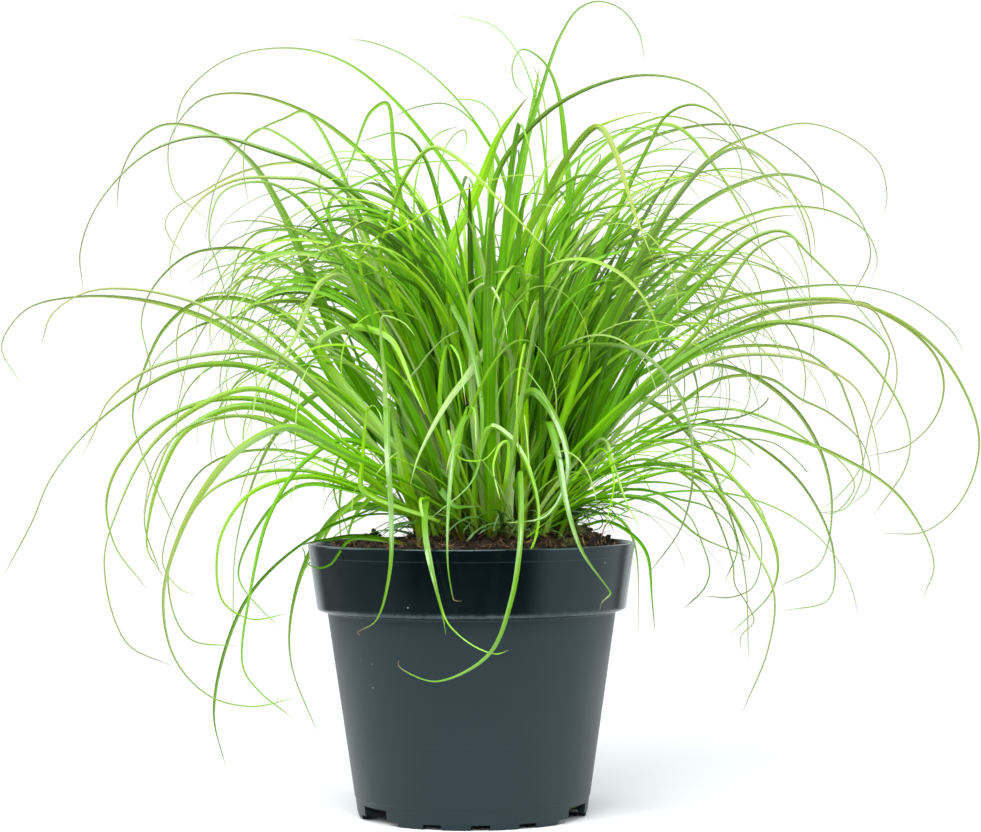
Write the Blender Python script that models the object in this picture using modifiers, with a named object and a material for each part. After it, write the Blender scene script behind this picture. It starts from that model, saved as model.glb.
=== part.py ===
"""Potted ornamental grass: a nursery pot, the soil in it, the crown of the clump and its long arching leaves.

Metres, +Z up. The origin is on the surface that the pot stands on, at the middle of its foot ring.
The front faces -Y. Lengths in the tables are millimetres, named with _MM or said to be so.
"""

import math

import bmesh
import bpy
from mathutils import Matrix, Vector, noise

MM = 0.001
MERGE_DISTANCE = 0.05 * MM

# The pot: a 12 cm nursery pot, 10 cm high.
POT_STEPS = 48  # facets around the pot
# Outline of the outside, top to bottom, as (radius, height) in mm.
POT_OUTSIDE_MM = (
    (59.3, 100.0), (60.0, 99.2), (56.9, 78.0), (55.3, 75.8), (52.7, 75.0), (42.8, 5.2), (42.3, 2.4),
    (41.3, 0.0),
)
# Outline of the inside, from the foot ring over the floor's underside and top, up the wall to the rim.
POT_FOOT_MM = ((39.8, 0.0), (39.6, 3.0), (0.0, 3.0), (0.0, 4.2))
POT_INSIDE_MM = ((41.4, 4.2), (51.5, 75.6), (55.6, 78.0), (58.6, 99.6))

# Drainage cuts around the foot. Angles in degrees from the front, turning toward +X.
NOTCH_ANGLES = (64.3, 184.3, 304.3)
NOTCH_WIDTH = 14.6 * MM
NOTCH_HEIGHT = 5.65 * MM
NOTCH_INNER_RADIUS = 32 * MM  # the notches run into the floor and drain it
GAP_INNER_RADIUS = 37.8 * MM  # the shallow gaps cut the foot ring alone
GAP_FIRST_ANGLE = 4.3
GAP_COUNT = 15
GAP_WIDTH = 8.0 * MM  # at the bottom
GAP_TOP_WIDTH = 6.6 * MM
GAP_HEIGHT = 1.9 * MM
CUT_OUTER_RADIUS = 46 * MM

# The soil: a plug that fills the pot, gently domed, with lumps at its edge.
SOIL_STEPS = 24
SOIL_SIDE_GAP_MM = 0.6
SOIL_BOTTOM_MM = 4.8
SOIL_EDGE_MM = 95.6
SOIL_SEAT_RADIUS_MM = 45.0  # flat under the crown
SOIL_SEAT_MM = 98.6
SOIL_SHOULDER_MM = (52.0, 98.0)  # where it starts to fall to the edge
SOIL_MARGIN_MM = 0.3  # what lies this far above the edge and outside the seat is rough
SOIL_ROUGHNESS = 0.9 * MM
SOIL_ROUGH_SPACING = 9 * MM
LUMP_ROUGHNESS = 0.18  # of its radius
LUMP_ROUGH_SPACING = 4 * MM
# Lumps as (x, y, z of the middle, radius), in mm.
SOIL_LUMPS_MM = (
    (41.5, -25, 99.5, 6.0), (49, -4, 98, 4.6), (46.5, 18, 98, 5.0), (-37, 24, 98, 5.6),
    (-40, -6, 97.5, 5.0), (-24, -38, 97, 4.4), (22, -46, 97, 4.2), (8, 47, 97.5, 5.0),
)

# The crown: a low rootstock with the stub of a leaf sheath under each leaf.
CROWN_X = 8 * MM
CROWN_Y = 0 * MM
CROWN_RADIUS = 33 * MM
CROWN_STEPS = 24
CROWN_BOTTOM = 98.9 * MM
# Outline of its top from the middle out, as (share of the radius, height above its bottom in mm).
CROWN_TOP_MM = ((0.0, 4.2), (0.6, 3.7), (0.97, 2.2))
STUB_ROOT_HEIGHT = 1.1 * MM  # the stubs start inside the crown, this far above its bottom
STUB_SPREAD = 30.5 * MM  # the outermost stubs' distance from the middle
STUB_RADIUS = 2.9 * MM
STUB_TOP_RADIUS = 2.1 * MM
STUB_MIDDLE_TOP = 107.5 * MM
STUB_EDGE_TOP = 104.0 * MM
STUB_SIDES = 6
GOLDEN_ANGLE = math.radians(137.508)

# How the photograph of 981 x 832 pixels sees the plant, for leaves that follow it.
PHOTO_CENTRE_COLUMN = 490.5
PHOTO_EYE_ROW = 425.0
PHOTO_FOCAL = 2722.0  # pixels
CAMERA_DISTANCE = 1000 * MM  # in front of the pot's axis
CAMERA_X = 7.2 * MM
CAMERA_HEIGHT = 142.9 * MM

# Leaves. A leaf is a strip folded along its middle, widest a little above its foot.
LEAF_FOLD = 0.42  # how far its edges stand above the fold, for a half width of 1
LEAF_KEEL = 0.17  # half its thickness at the fold
LEAF_WIDTHS = ((0.0, 0.78), (0.14, 1.0), (0.35, 0.9), (0.6, 0.64), (0.85, 0.36), (1.0, 0.18))
LEAF_STATION_SPACING = 24 * MM
LEAF_FOOT_LIFT = 0.75 * MM  # of the fold's middle above its stub
KNEE_SIDEWAYS = 0.13  # the leaf's first rise, as shares of the way to its first place
KNEE_UP = 0.32

# Leaves traced over the photograph. Each row: the foot (x, y) in mm, the greatest width in mm, the lean
# (how far the leaf goes back for each millimetre that it goes right), and places from its lower part out
# to its tip as (column, row) in the photograph. A place with a third number gives its own depth in mm,
# behind the pot's axis.
LEFT_LEAVES = (
    ((-18, -6), 3.7, -0.05, ((345, 360), (310, 275), (280, 207), (250, 160), (210, 131), (165, 124),
                             (138, 142), (121, 177), (118, 208))),
    ((2, 6), 2.1, -0.35, ((467, 201), (434, 147), (389, 94), (345, 61), (300, 48), (250, 51), (215, 66),
                          (185, 96), (174, 140))),
    ((-6, 14), 2.3, -0.6, ((415, 225), (350, 141), (310, 113), (250, 93), (200, 100), (171, 140),
                           (175, 187), (208, 218))),
    ((-10, -2), 2.4, 0.12, ((400, 235), (330, 175), (270, 150), (210, 135), (150, 151), (100, 201),
                            (81, 250), (84, 288))),
    ((-14, 10), 2.8, -0.3, ((400, 260), (340, 185), (285, 137), (262, 128), (238, 150), (217, 185),
                            (206, 238))),
    ((-16, -14), 2.8, 0.9, ((345, 260), (300, 198), (262, 181), (222, 193), (210, 235), (218, 262),
                            (228, 300))),
    ((-8, -4), 4.0, -0.1, ((405, 240), (402, 210), (395, 155), (388, 103), (372, 112), (350, 165),
                           (331, 190))),
    ((-23, 3), 2.8, -0.5, ((330, 405), (285, 360), (250, 342), (212, 320), (150, 300), (80, 295),
                           (25, 309), (2, 345), (21, 381))),
    ((-18, 15), 2.4, -0.45, ((370, 400), (310, 285), (262, 252), (222, 247), (185, 256), (152, 289),
                             (142, 320), (151, 375), (137, 412))),
    ((-21, 8), 2.6, -0.2, ((345, 400), (300, 330), (250, 300), (200, 300), (165, 327), (142, 375),
                           (133, 415), (148, 468), (176, 530))),
    ((-24, -7), 2.4, 0.3, ((345, 430), (290, 385), (250, 366), (190, 366), (140, 389), (90, 428),
                           (50, 478), (32, 520), (4, 572))),
    ((-18, 22), 2.8, -0.9, ((350, 380), (300, 303), (250, 277), (220, 305), (190, 355), (180, 395),
                            (174, 422))),
    ((-22, -13), 2.6, 0.7, ((340, 440), (290, 400), (250, 388), (200, 405), (150, 447), (120, 503),
                            (104, 560), (125, 640), (172, 665))),
    ((-19, -18), 3.5, 1.1, ((350, 455), (290, 427), (240, 448), (205, 487), (178, 537), (163, 595),
                            (172, 652), (205, 692), (250, 705), (296, 696))),
    ((-26, 8), 2.6, -0.35, ((360, 516), (300, 545), (250, 593), (224, 650), (213, 715), (225, 767))),
    ((-18, 27), 2.7, -1.0, ((345, 510), (308, 557), (290, 620), (291, 665), (316, 731))),
)
TOP_LEAVES = (
    ((12, 4), 2.1, -0.5, ((508, 190), (490, 143), (456, 96), (412, 58), (367, 40), (350, 39))),
    ((22, 8), 2.1, -0.6, ((548, 185), (545, 145), (537, 97), (522, 57), (499, 28), (470, 17),
                          (454, 15))),
    ((10, -2), 3.7, 0.2, ((514, 212), (528, 140), (540, 100), (550, 68), (562, 37), (580, 10), (600, 2),
                          (623, 10), (640, 32), (646, 60))),
    ((30, -4), 2.8, 0.3, ((570, 185), (567, 150), (559, 90), (545, 61), (524, 49), (514, 64), (516, 83),
                          (527, 97))),
    ((4, -9), 2.1, -0.9, ((500, 170), (540, 120), (590, 89), (652, 76), (705, 91), (737, 132),
                          (757, 165), (778, 196))),
    ((-4, -12), 4.0, -0.2, ((452, 241), (470, 205), (485, 172), (501, 134), (528, 98))),
    ((-13, -12), 3.1, 0.0, ((380, 257, -26), (389, 223, -34), (403, 180, -46), (430, 148, -62),
                            (456, 156, -78), (501, 201, -98), (563, 266, -118))),
    ((14, -12), 3.7, 0.0, ((514, 268, -30), (541, 212, -44), (566, 163, -64), (597, 128, -88),
                           (615, 150, -112), (635, 212, -140), (655, 264, -157))),
    ((8, 10), 3.7, 0.0, ((516, 201), (525, 156), (534, 112), (541, 69))),
)
RIGHT_LEAVES = (
    ((24, 8), 2.1, 0.5, ((640, 270), (680, 196), (720, 153), (765, 134), (808, 125), (850, 139),
                         (880, 165), (888, 198), (884, 219))),
    ((28, 2), 2.6, 0.15, ((620, 300), (680, 223), (730, 190), (785, 176), (830, 190), (860, 220),
                          (871, 258), (852, 298))),
    ((16, 12), 2.6, 0.7, ((560, 230), (617, 155), (680, 130), (740, 127), (790, 150), (820, 182),
                          (826, 220))),
    ((22, -6), 3.0, -0.6, ((600, 260), (632, 185), (650, 148), (668, 117), (692, 106), (720, 117),
                           (745, 148), (786, 205))),
    ((26, -12), 3.0, -1.1, ((640, 260), (673, 205), (710, 163), (742, 149), (780, 174), (806, 225),
                            (813, 270))),
    ((30, -8), 3.3, -0.35, ((660, 330), (717, 269), (757, 238), (785, 233), (810, 256), (835, 281),
                            (887, 344))),
    ((31, 10), 2.7, 0.35, ((660, 335), (720, 305), (770, 293), (845, 287), (904, 299), (950, 331),
                           (964, 354))),
    ((34, 2), 2.8, 0.05, ((640, 370), (720, 315), (790, 302), (850, 303), (905, 325), (950, 367),
                          (979, 440), (963, 499), (925, 533), (882, 535))),
    ((34, -5), 2.7, -0.25, ((650, 385), (720, 340), (785, 324), (845, 342), (885, 382), (909, 432),
                            (906, 467), (873, 517))),
    ((38, -9), 2.8, 0.05, ((600, 470), (654, 434), (708, 426), (770, 434), (840, 459), (900, 500),
                           (933, 565), (922, 600))),
    ((31, 16), 3.0, 0.6, ((640, 400), (700, 367), (748, 375), (796, 412), (824, 464), (831, 515),
                          (820, 563), (780, 587))),
    ((36, 8), 3.0, 0.3, ((590, 480), (640, 436), (710, 427), (765, 452), (806, 492), (832, 550),
                         (828, 600), (783, 612))),
    ((34, -12), 3.4, -0.8, ((580, 490), (614, 452), (660, 442), (700, 453), (748, 499), (776, 555),
                            (772, 590), (730, 634))),
    ((32, -17), 3.0, -1.3, ((575, 500), (605, 477), (650, 469), (710, 485), (748, 542), (773, 595),
                            (767, 650), (741, 713))),
    ((38, 4), 2.3, 0.1, ((580, 527), (605, 522), (632, 536), (646, 555), (651, 600), (654, 633))),
)
FRONT_LEAVES = (
    ((-17, -20), 3.4, 0.0, ((392, 430, -38), (388, 408, -52), (388, 451, -67), (391, 507, -73),
                            (389, 572, -76), (375, 620, -76), (357, 631, -74))),
    ((-6, -26), 3.4, 0.0, ((430, 512, -36), (427, 497, -46), (424, 518, -60), (428, 557, -72),
                           (442, 616, -75), (445, 635, -75))),
    ((2, -25), 2.6, 0.0, ((462, 440, -40), (466, 415, -52), (455, 440, -62), (448, 500, -70),
                          (447, 565, -73), (452, 597, -73))),
    ((13, -26), 3.5, 0.0, ((517, 500, -38), (519, 472, -50), (520, 500, -62), (519, 545, -72),
                           (510, 601, -76), (488, 654, -74), (435, 681, -68), (399, 667, -62))),
    ((25, -20), 3.1, 0.0, ((540, 445, -34), (548, 423, -46), (558, 458, -58), (566, 505, -66),
                           (581, 551, -70), (608, 590, -66))),
    ((18, -18), 3.4, 0.0, ((506, 460, -28), (515, 411, -35), (532, 392, -42), (558, 424, -50),
                           (568, 473, -57), (546, 516, -61), (506, 523, -60))),
    ((22, -14), 2.6, -1.2, ((535, 380), (560, 352), (595, 345), (640, 353), (681, 399), (693, 461),
                            (683, 523), (647, 576))),
    ((-3, -17), 2.6, 0.0, ((447, 400, -24), (449, 305, -29), (461, 322, -34), (474, 360, -42),
                           (482, 417, -50), (473, 478, -55), (430, 518, -57))),
)
# Leaves that arch behind the clump, out of the photograph's sight. Each row: the foot (x, y) in mm, the
# greatest width in mm, the angle it leans to in degrees from the front, turning toward +X, and places
# as (distance from the crown's middle, height), in mm.
BACK_LEAVES = (
    ((8, 24), 3.4, 180, ((40, 200), (72, 246), (112, 252), (146, 214), (160, 168))),
    ((0, 26), 3.0, 196, ((44, 166), (84, 196), (128, 186), (158, 140), (166, 104))),
    ((16, 27), 3.0, 166, ((46, 160), (88, 184), (132, 168), (160, 122), (166, 88))),
    ((22, 24), 3.3, 152, ((40, 182), (78, 222), (122, 220), (152, 178), (162, 136))),
    ((-6, 24), 3.1, 212, ((42, 186), (80, 226), (120, 228), (146, 194), (150, 150))),
    ((10, 30), 2.7, 176, ((48, 132), (88, 136), (122, 104), (138, 62), (128, 30))),
    ((26, 19), 2.8, 139, ((48, 142), (92, 152), (134, 126), (158, 80), (160, 46))),
    ((-12, 22), 2.8, 222, ((48, 146), (92, 158), (134, 136), (158, 92), (160, 58))),
    ((4, 15), 3.7, 188, ((24, 196), (44, 230), (74, 240), (100, 224), (112, 192))),
)

# Finishes: colour, roughness.
POT_FINISH = ((0.055, 0.072, 0.082), 0.42)
SOIL_FINISH = ((0.052, 0.03, 0.018), 0.95)
CROWN_FINISH = ((0.2, 0.12, 0.045), 0.75)
LEAF_FINISH = ((0.19, 0.4, 0.035), 0.5)


def clear_scene():
    for obj in list(bpy.data.objects):
        bpy.data.objects.remove(obj, do_unlink=True)


def new_collection(name):
    collection = bpy.data.collections.new(name)
    bpy.context.scene.collection.children.link(collection)
    return collection


def finish(name, colour, roughness):
    material = bpy.data.materials.new(name)
    material.use_nodes = True
    shader = material.node_tree.nodes["Principled BSDF"]
    shader.inputs["Base Color"].default_value = (*colour, 1)
    shader.inputs["Roughness"].default_value = roughness
    shader.inputs["Metallic"].default_value = 0
    return material


def add_object(name, data, collection, material=None):
    obj = bpy.data.objects.new(name, data)
    collection.objects.link(obj)
    if material:
        data.materials.append(material)
    return obj


def mesh_from(name, shape):
    mesh = bpy.data.meshes.new(name)
    shape.to_mesh(mesh)
    shape.free()
    return mesh


def boolean(obj, other, operation):
    modifier = obj.modifiers.new(other.name, "BOOLEAN")
    modifier.operation = operation
    modifier.solver = "EXACT"
    modifier.object = other


def bake(obj):
    """Applies an object's modifiers to its mesh."""
    bpy.context.view_layer.update()
    evaluated = obj.evaluated_get(bpy.context.evaluated_depsgraph_get())
    mesh = bpy.data.meshes.new_from_object(evaluated)
    obj.modifiers.clear()
    obj.data = mesh


def turned(name, outline_mm, steps, collection, material):
    """A solid turned about Z from a closed outline of (radius, height) that runs down its outer side first."""
    shape = bmesh.new()
    corners = [shape.verts.new((radius * MM, 0, height * MM)) for radius, height in outline_mm]
    for start, end in zip(corners, corners[1:]):
        shape.edges.new((start, end))
    if outline_mm[0][0] > 0:
        shape.edges.new((corners[-1], corners[0]))
    obj = add_object(name, mesh_from(name, shape), collection, material)
    screw = obj.modifiers.new("Turn", "SCREW")
    screw.axis = "Z"
    screw.angle = 2 * math.pi
    screw.steps = steps
    screw.render_steps = steps
    screw.use_merge_vertices = True
    screw.merge_threshold = MERGE_DISTANCE
    return obj


def hide_helper(obj):
    obj.hide_render = True
    obj.display_type = "WIRE"


def around(angle):
    """The level direction at an angle in degrees from the front, turning toward +X."""
    turn = math.radians(angle)
    return Vector((math.sin(turn), -math.cos(turn), 0))


def foot_cuts(name, angles, inner_radius, height, width, top_width, collection):
    """Blocks that cut through the foot ring at these angles, as one cutter."""
    shape = bmesh.new()
    depth = CUT_OUTER_RADIUS - inner_radius
    bottom = -1 * MM
    for angle in angles:
        block = bmesh.ops.create_cube(shape, size=1)["verts"]
        for corner in block:
            is_top = corner.co.z > 0
            side = corner.co.x * (top_width if is_top else width)
            place = around(angle) * (inner_radius + depth / 2 + corner.co.y * depth)
            place += around(angle + 90) * side
            place.z = height if is_top else bottom
            corner.co = place
    bmesh.ops.recalc_face_normals(shape, faces=shape.faces)
    cutter = add_object(name, mesh_from(name, shape), collection)
    hide_helper(cutter)
    return cutter


def make_pot(parts, helpers):
    outline = POT_OUTSIDE_MM + POT_FOOT_MM + POT_INSIDE_MM
    pot = turned("pot", outline, POT_STEPS, parts, finish("pot", *POT_FINISH))
    notches = foot_cuts("drain_notch_cut", NOTCH_ANGLES, NOTCH_INNER_RADIUS, NOTCH_HEIGHT, NOTCH_WIDTH,
                        NOTCH_WIDTH, helpers)
    gap_angles = [GAP_FIRST_ANGLE + 360 / GAP_COUNT * k for k in range(GAP_COUNT)]
    gap_size = (GAP_INNER_RADIUS, GAP_HEIGHT, GAP_WIDTH, GAP_TOP_WIDTH)
    gaps = foot_cuts("foot_gap_cut", gap_angles, *gap_size, helpers)
    boolean(pot, notches, "DIFFERENCE")
    boolean(pot, gaps, "DIFFERENCE")
    return pot


def soil_outline():
    """Down the side from the edge, then in along the bottom, and back out over the top from the middle."""
    wall = [(radius - SOIL_SIDE_GAP_MM, height) for radius, height in reversed(POT_INSIDE_MM)]
    (rim_radius, rim_height), (step_radius, step_height) = wall[0], wall[1]
    share = (SOIL_EDGE_MM - step_height) / (rim_height - step_height)
    edge = (step_radius + (rim_radius - step_radius) * share, SOIL_EDGE_MM)
    floor = (wall[-1][0], SOIL_BOTTOM_MM)
    middle = ((0.0, SOIL_BOTTOM_MM), (0.0, SOIL_SEAT_MM))
    seat_edge = (SOIL_SEAT_RADIUS_MM, SOIL_SEAT_MM)
    return (edge, *wall[1:-1], floor, *middle, seat_edge, SOIL_SHOULDER_MM)


def make_soil(parts, helpers):
    soil = turned("soil", soil_outline(), SOIL_STEPS, parts, finish("soil", *SOIL_FINISH))
    bake(soil)
    for corner in soil.data.vertices:
        radius = math.hypot(corner.co.x, corner.co.y)
        above_edge = corner.co.z > (SOIL_EDGE_MM - SOIL_MARGIN_MM) * MM
        if above_edge and radius > (SOIL_SEAT_RADIUS_MM + SOIL_MARGIN_MM) * MM:
            corner.co.z += SOIL_ROUGHNESS * noise.noise(corner.co / SOIL_ROUGH_SPACING)
    shape = bmesh.new()
    for x, y, z, radius in SOIL_LUMPS_MM:
        ball = bmesh.ops.create_icosphere(shape, subdivisions=1, radius=radius * MM)["verts"]
        for corner in ball:
            rough = noise.noise(corner.co / LUMP_ROUGH_SPACING + Vector((x, y, z)))
            corner.co *= 1 + LUMP_ROUGHNESS * rough
            corner.co += Vector((x, y, z)) * MM
    lumps = add_object("soil_lumps", mesh_from("soil_lumps", shape), helpers)
    hide_helper(lumps)
    boolean(soil, lumps, "UNION")
    return soil


class StubPlaces:
    """Where leaves can stand on the crown: spots spread evenly, as seeds are in a flower head."""

    def __init__(self, count):
        self.spots = []
        for index in range(count):
            away = STUB_SPREAD * math.sqrt((index + 0.5) / count)
            turn = index * GOLDEN_ANGLE
            self.spots.append((CROWN_X + away * math.cos(turn), CROWN_Y + away * math.sin(turn)))
        self.taken = []

    def take(self, wanted_mm):
        """The free spot nearest to the wanted place, at the top of its stub."""
        x, y = wanted_mm[0] * MM, wanted_mm[1] * MM
        spot = min(self.spots, key=lambda place: math.hypot(place[0] - x, place[1] - y))
        self.spots.remove(spot)
        share = math.hypot(spot[0] - CROWN_X, spot[1] - CROWN_Y) / STUB_SPREAD
        top = STUB_MIDDLE_TOP + (STUB_EDGE_TOP - STUB_MIDDLE_TOP) * share * share
        place = Vector((*spot, top))
        self.taken.append(place)
        return place


def make_crown(stub_tops, parts, helpers):
    top = [(CROWN_RADIUS / MM * share, height) for share, height in CROWN_TOP_MM]
    outline = ((CROWN_RADIUS / MM, 0.0), (0.0, 0.0), *top)
    crown = turned("crown", outline, CROWN_STEPS, parts, finish("crown", *CROWN_FINISH))
    bake(crown)
    for corner in crown.data.vertices:
        corner.co += Vector((CROWN_X, CROWN_Y, CROWN_BOTTOM))
    root = CROWN_BOTTOM + STUB_ROOT_HEIGHT
    shape = bmesh.new()
    for top in stub_tops:
        height = top.z - root
        place = Matrix.Translation((top.x, top.y, root + height / 2))
        bmesh.ops.create_cone(shape, cap_ends=True, segments=STUB_SIDES, radius1=STUB_RADIUS,
                              radius2=STUB_TOP_RADIUS, depth=height, matrix=place)
    stubs = add_object("sheath_stubs", mesh_from("sheath_stubs", shape), helpers)
    hide_helper(stubs)
    boolean(crown, stubs, "UNION")
    return crown


def depth_in_plane(column, foot, lean):
    """The depth at which a leaf that leans in one upright plane through its foot is seen at this column."""
    slant = (column - PHOTO_CENTRE_COLUMN) / PHOTO_FOCAL
    x = (slant * (CAMERA_DISTANCE + foot.y - lean * foot.x) + CAMERA_X) / (1 - slant * lean)
    return foot.y + lean * (x - foot.x)


def from_photo(column, row, depth):
    """The place at this depth behind the pot's axis that is seen at this column and row."""
    scale = (CAMERA_DISTANCE + depth) / PHOTO_FOCAL
    x = CAMERA_X + (column - PHOTO_CENTRE_COLUMN) * scale
    return Vector((x, depth, CAMERA_HEIGHT - (row - PHOTO_EYE_ROW) * scale))


def traced_places(foot, lean, points):
    for column, row, *own_depth in points:
        depth = own_depth[0] * MM if own_depth else depth_in_plane(column, foot, lean)
        yield from_photo(column, row, depth)


def arched_places(angle, points_mm):
    middle = Vector((CROWN_X, CROWN_Y, 0))
    for away, height in points_mm:
        yield middle + around(angle) * away * MM + Vector((0, 0, height * MM))


def smooth_route(places):
    """Stations along a smooth curve through these places."""
    ends = [2 * places[0] - places[1], *places, 2 * places[-1] - places[-2]]
    route = [places[0]]
    for before, start, end, after in zip(ends, ends[1:], ends[2:], ends[3:]):
        pieces = max(1, round((end - start).length / LEAF_STATION_SPACING))
        knots = [0.0]
        for a, b in ((before, start), (start, end), (end, after)):
            knots.append(knots[-1] + math.sqrt((b - a).length))
        for step in range(1, pieces + 1):
            t = knots[1] + (knots[2] - knots[1]) * step / pieces
            route.append(between(before, start, end, after, knots, t))
    return route


def between(p0, p1, p2, p3, knots, t):
    """A point of the centripetal Catmull-Rom curve from p1 to p2."""
    k0, k1, k2, k3 = knots
    a1 = p0.lerp(p1, (t - k0) / (k1 - k0))
    a2 = p1.lerp(p2, (t - k1) / (k2 - k1))
    a3 = p2.lerp(p3, (t - k2) / (k3 - k2))
    b1 = a1.lerp(a2, (t - k0) / (k2 - k0))
    b2 = a2.lerp(a3, (t - k1) / (k3 - k1))
    return b1.lerp(b2, (t - k1) / (k2 - k1))


def width_share(t):
    for (start, low), (end, high) in zip(LEAF_WIDTHS, LEAF_WIDTHS[1:]):
        if t <= end:
            return low + (high - low) * (t - start) / (end - start)
    return LEAF_WIDTHS[-1][1]


def leaf_section(helpers):
    """The leaf's cross-section for a half width of 1 mm: a shallow fold, open toward the stem side."""
    corners = ((-1, LEAF_FOLD), (0, LEAF_KEEL), (1, LEAF_FOLD), (0, -LEAF_KEEL))
    data = bpy.data.curves.new("leaf_section", "CURVE")
    data.dimensions = "2D"
    spline = data.splines.new("POLY")
    spline.points.add(len(corners) - 1)
    for point, (across, up) in zip(spline.points, corners):
        point.co = (across * MM, up * MM, 0, 1)
    spline.use_cyclic_u = True
    section = add_object("leaf_section", data, helpers)
    hide_helper(section)
    return section


def make_leaf(name, foot, places, width_mm, section, parts, material):
    base = foot + Vector((0, 0, LEAF_FOOT_LIFT))
    first = places[0]
    knee = base + Vector((first.x - base.x, first.y - base.y, 0)) * KNEE_SIDEWAYS
    knee.z += (first.z - base.z) * KNEE_UP
    stations = smooth_route([base, knee, *places])
    data = bpy.data.curves.new(name, "CURVE")
    data.dimensions = "3D"
    data.twist_mode = "MINIMUM"
    data.bevel_mode = "OBJECT"
    data.bevel_object = section
    data.use_fill_caps = True
    spline = data.splines.new("POLY")
    spline.points.add(len(stations) - 1)
    lengths = [0.0]
    for start, end in zip(stations, stations[1:]):
        lengths.append(lengths[-1] + (end - start).length)
    for point, station, length in zip(spline.points, stations, lengths):
        point.co = (*station, 1)
        point.radius = width_mm / 2 * width_share(length / lengths[-1])
    return add_object(name, data, parts, material)


def make_leaves(spots, section, parts):
    material = finish("leaf", *LEAF_FINISH)
    traced = (("left", LEFT_LEAVES), ("top", TOP_LEAVES), ("right", RIGHT_LEAVES), ("front", FRONT_LEAVES))
    for side, rows in traced:
        for number, (wanted, width_mm, lean, points) in enumerate(rows, 1):
            foot = spots.take(wanted)
            places = list(traced_places(foot, lean, points))
            make_leaf(f"leaf_{side}_{number:02d}", foot, places, width_mm, section, parts, material)
    for number, (wanted, width_mm, angle, points_mm) in enumerate(BACK_LEAVES, 1):
        foot = spots.take(wanted)
        places = list(arched_places(angle, points_mm))
        make_leaf(f"leaf_back_{number:02d}", foot, places, width_mm, section, parts, material)


def main():
    clear_scene()
    parts = new_collection("potted_grass")
    helpers = new_collection("helpers")
    make_pot(parts, helpers)
    make_soil(parts, helpers)
    tables = (LEFT_LEAVES, TOP_LEAVES, RIGHT_LEAVES, FRONT_LEAVES, BACK_LEAVES)
    spots = StubPlaces(sum(len(table) for table in tables))
    make_leaves(spots, leaf_section(helpers), parts)
    make_crown(spots.taken, parts, helpers)


main()
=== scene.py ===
"""The looks of the potted ornamental grass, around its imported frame.

Metres, +Z up, the front faces -Y. Lengths in the tables are millimetres, named with _MM or said to be so.
Colours are linear red, green and blue.
"""

import math
import random
from collections import namedtuple

import bmesh
import bpy
import numpy as np
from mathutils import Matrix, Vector, noise
from mathutils.bvhtree import BVHTree


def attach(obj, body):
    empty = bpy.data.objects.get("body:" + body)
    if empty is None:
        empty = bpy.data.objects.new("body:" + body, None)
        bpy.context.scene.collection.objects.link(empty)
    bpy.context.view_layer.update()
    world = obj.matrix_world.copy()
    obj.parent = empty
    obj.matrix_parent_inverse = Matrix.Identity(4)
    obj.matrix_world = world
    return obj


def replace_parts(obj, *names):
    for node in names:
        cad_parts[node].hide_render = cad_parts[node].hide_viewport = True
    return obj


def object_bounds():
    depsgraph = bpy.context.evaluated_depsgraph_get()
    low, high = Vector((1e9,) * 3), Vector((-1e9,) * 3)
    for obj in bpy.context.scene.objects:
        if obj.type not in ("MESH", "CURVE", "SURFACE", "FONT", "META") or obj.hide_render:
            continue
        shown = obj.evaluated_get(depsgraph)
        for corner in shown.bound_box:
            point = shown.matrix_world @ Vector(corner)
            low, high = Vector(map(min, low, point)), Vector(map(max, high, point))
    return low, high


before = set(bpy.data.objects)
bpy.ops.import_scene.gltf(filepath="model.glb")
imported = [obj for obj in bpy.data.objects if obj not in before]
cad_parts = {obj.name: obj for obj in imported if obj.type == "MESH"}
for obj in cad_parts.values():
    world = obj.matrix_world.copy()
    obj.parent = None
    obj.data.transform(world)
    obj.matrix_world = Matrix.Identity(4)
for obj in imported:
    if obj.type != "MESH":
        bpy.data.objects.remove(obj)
cad_low, cad_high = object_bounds()

MM = 0.001
SEED = 20

# How the photograph of 981 x 832 pixels sees the plant.
PHOTO_WIDTH = 981
PHOTO_HEIGHT = 832
PHOTO_EYE_ROW = 425.0
PHOTO_FOCAL = 2722.0  # pixels
CAMERA_DISTANCE = 1000 * MM  # in front of the pot's axis
CAMERA_X = 7.2 * MM
CAMERA_HEIGHT = 142.9 * MM
CAMERA_ROLL = math.radians(0.25)
SENSOR_MM = 36.0

# The crown that the leaves grow from.
CROWN_MIDDLE = Vector((8 * MM, 0, 104 * MM))
CROWN_RADIUS = 33 * MM
CROWN_TOP = 102.2 * MM  # the rootstock between the leaves is about this high at most
ROOT_HEIGHT = 99 * MM  # where the leaves' feet end, inside the crown

# Sections of a blade for a half width of 1: over its top from edge to edge, and back underneath.
BROAD = (
    (-1.0, 0.52), (-0.52, 0.24), (0.0, 0.04), (0.52, 0.24), (1.0, 0.52), (0.52, 0.16), (0.0, -0.1),
    (-0.52, 0.16),
)
FINE = ((-1.0, 0.22), (0.0, 0.26), (1.0, 0.22), (0.0, -0.5))
SHEATH = (
    (-1.0, 0.0), (-0.75, 0.42), (0.0, 0.62), (0.75, 0.42), (1.0, 0.0), (0.75, -0.42), (0.0, -0.62),
    (-0.75, -0.42),
)

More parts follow.
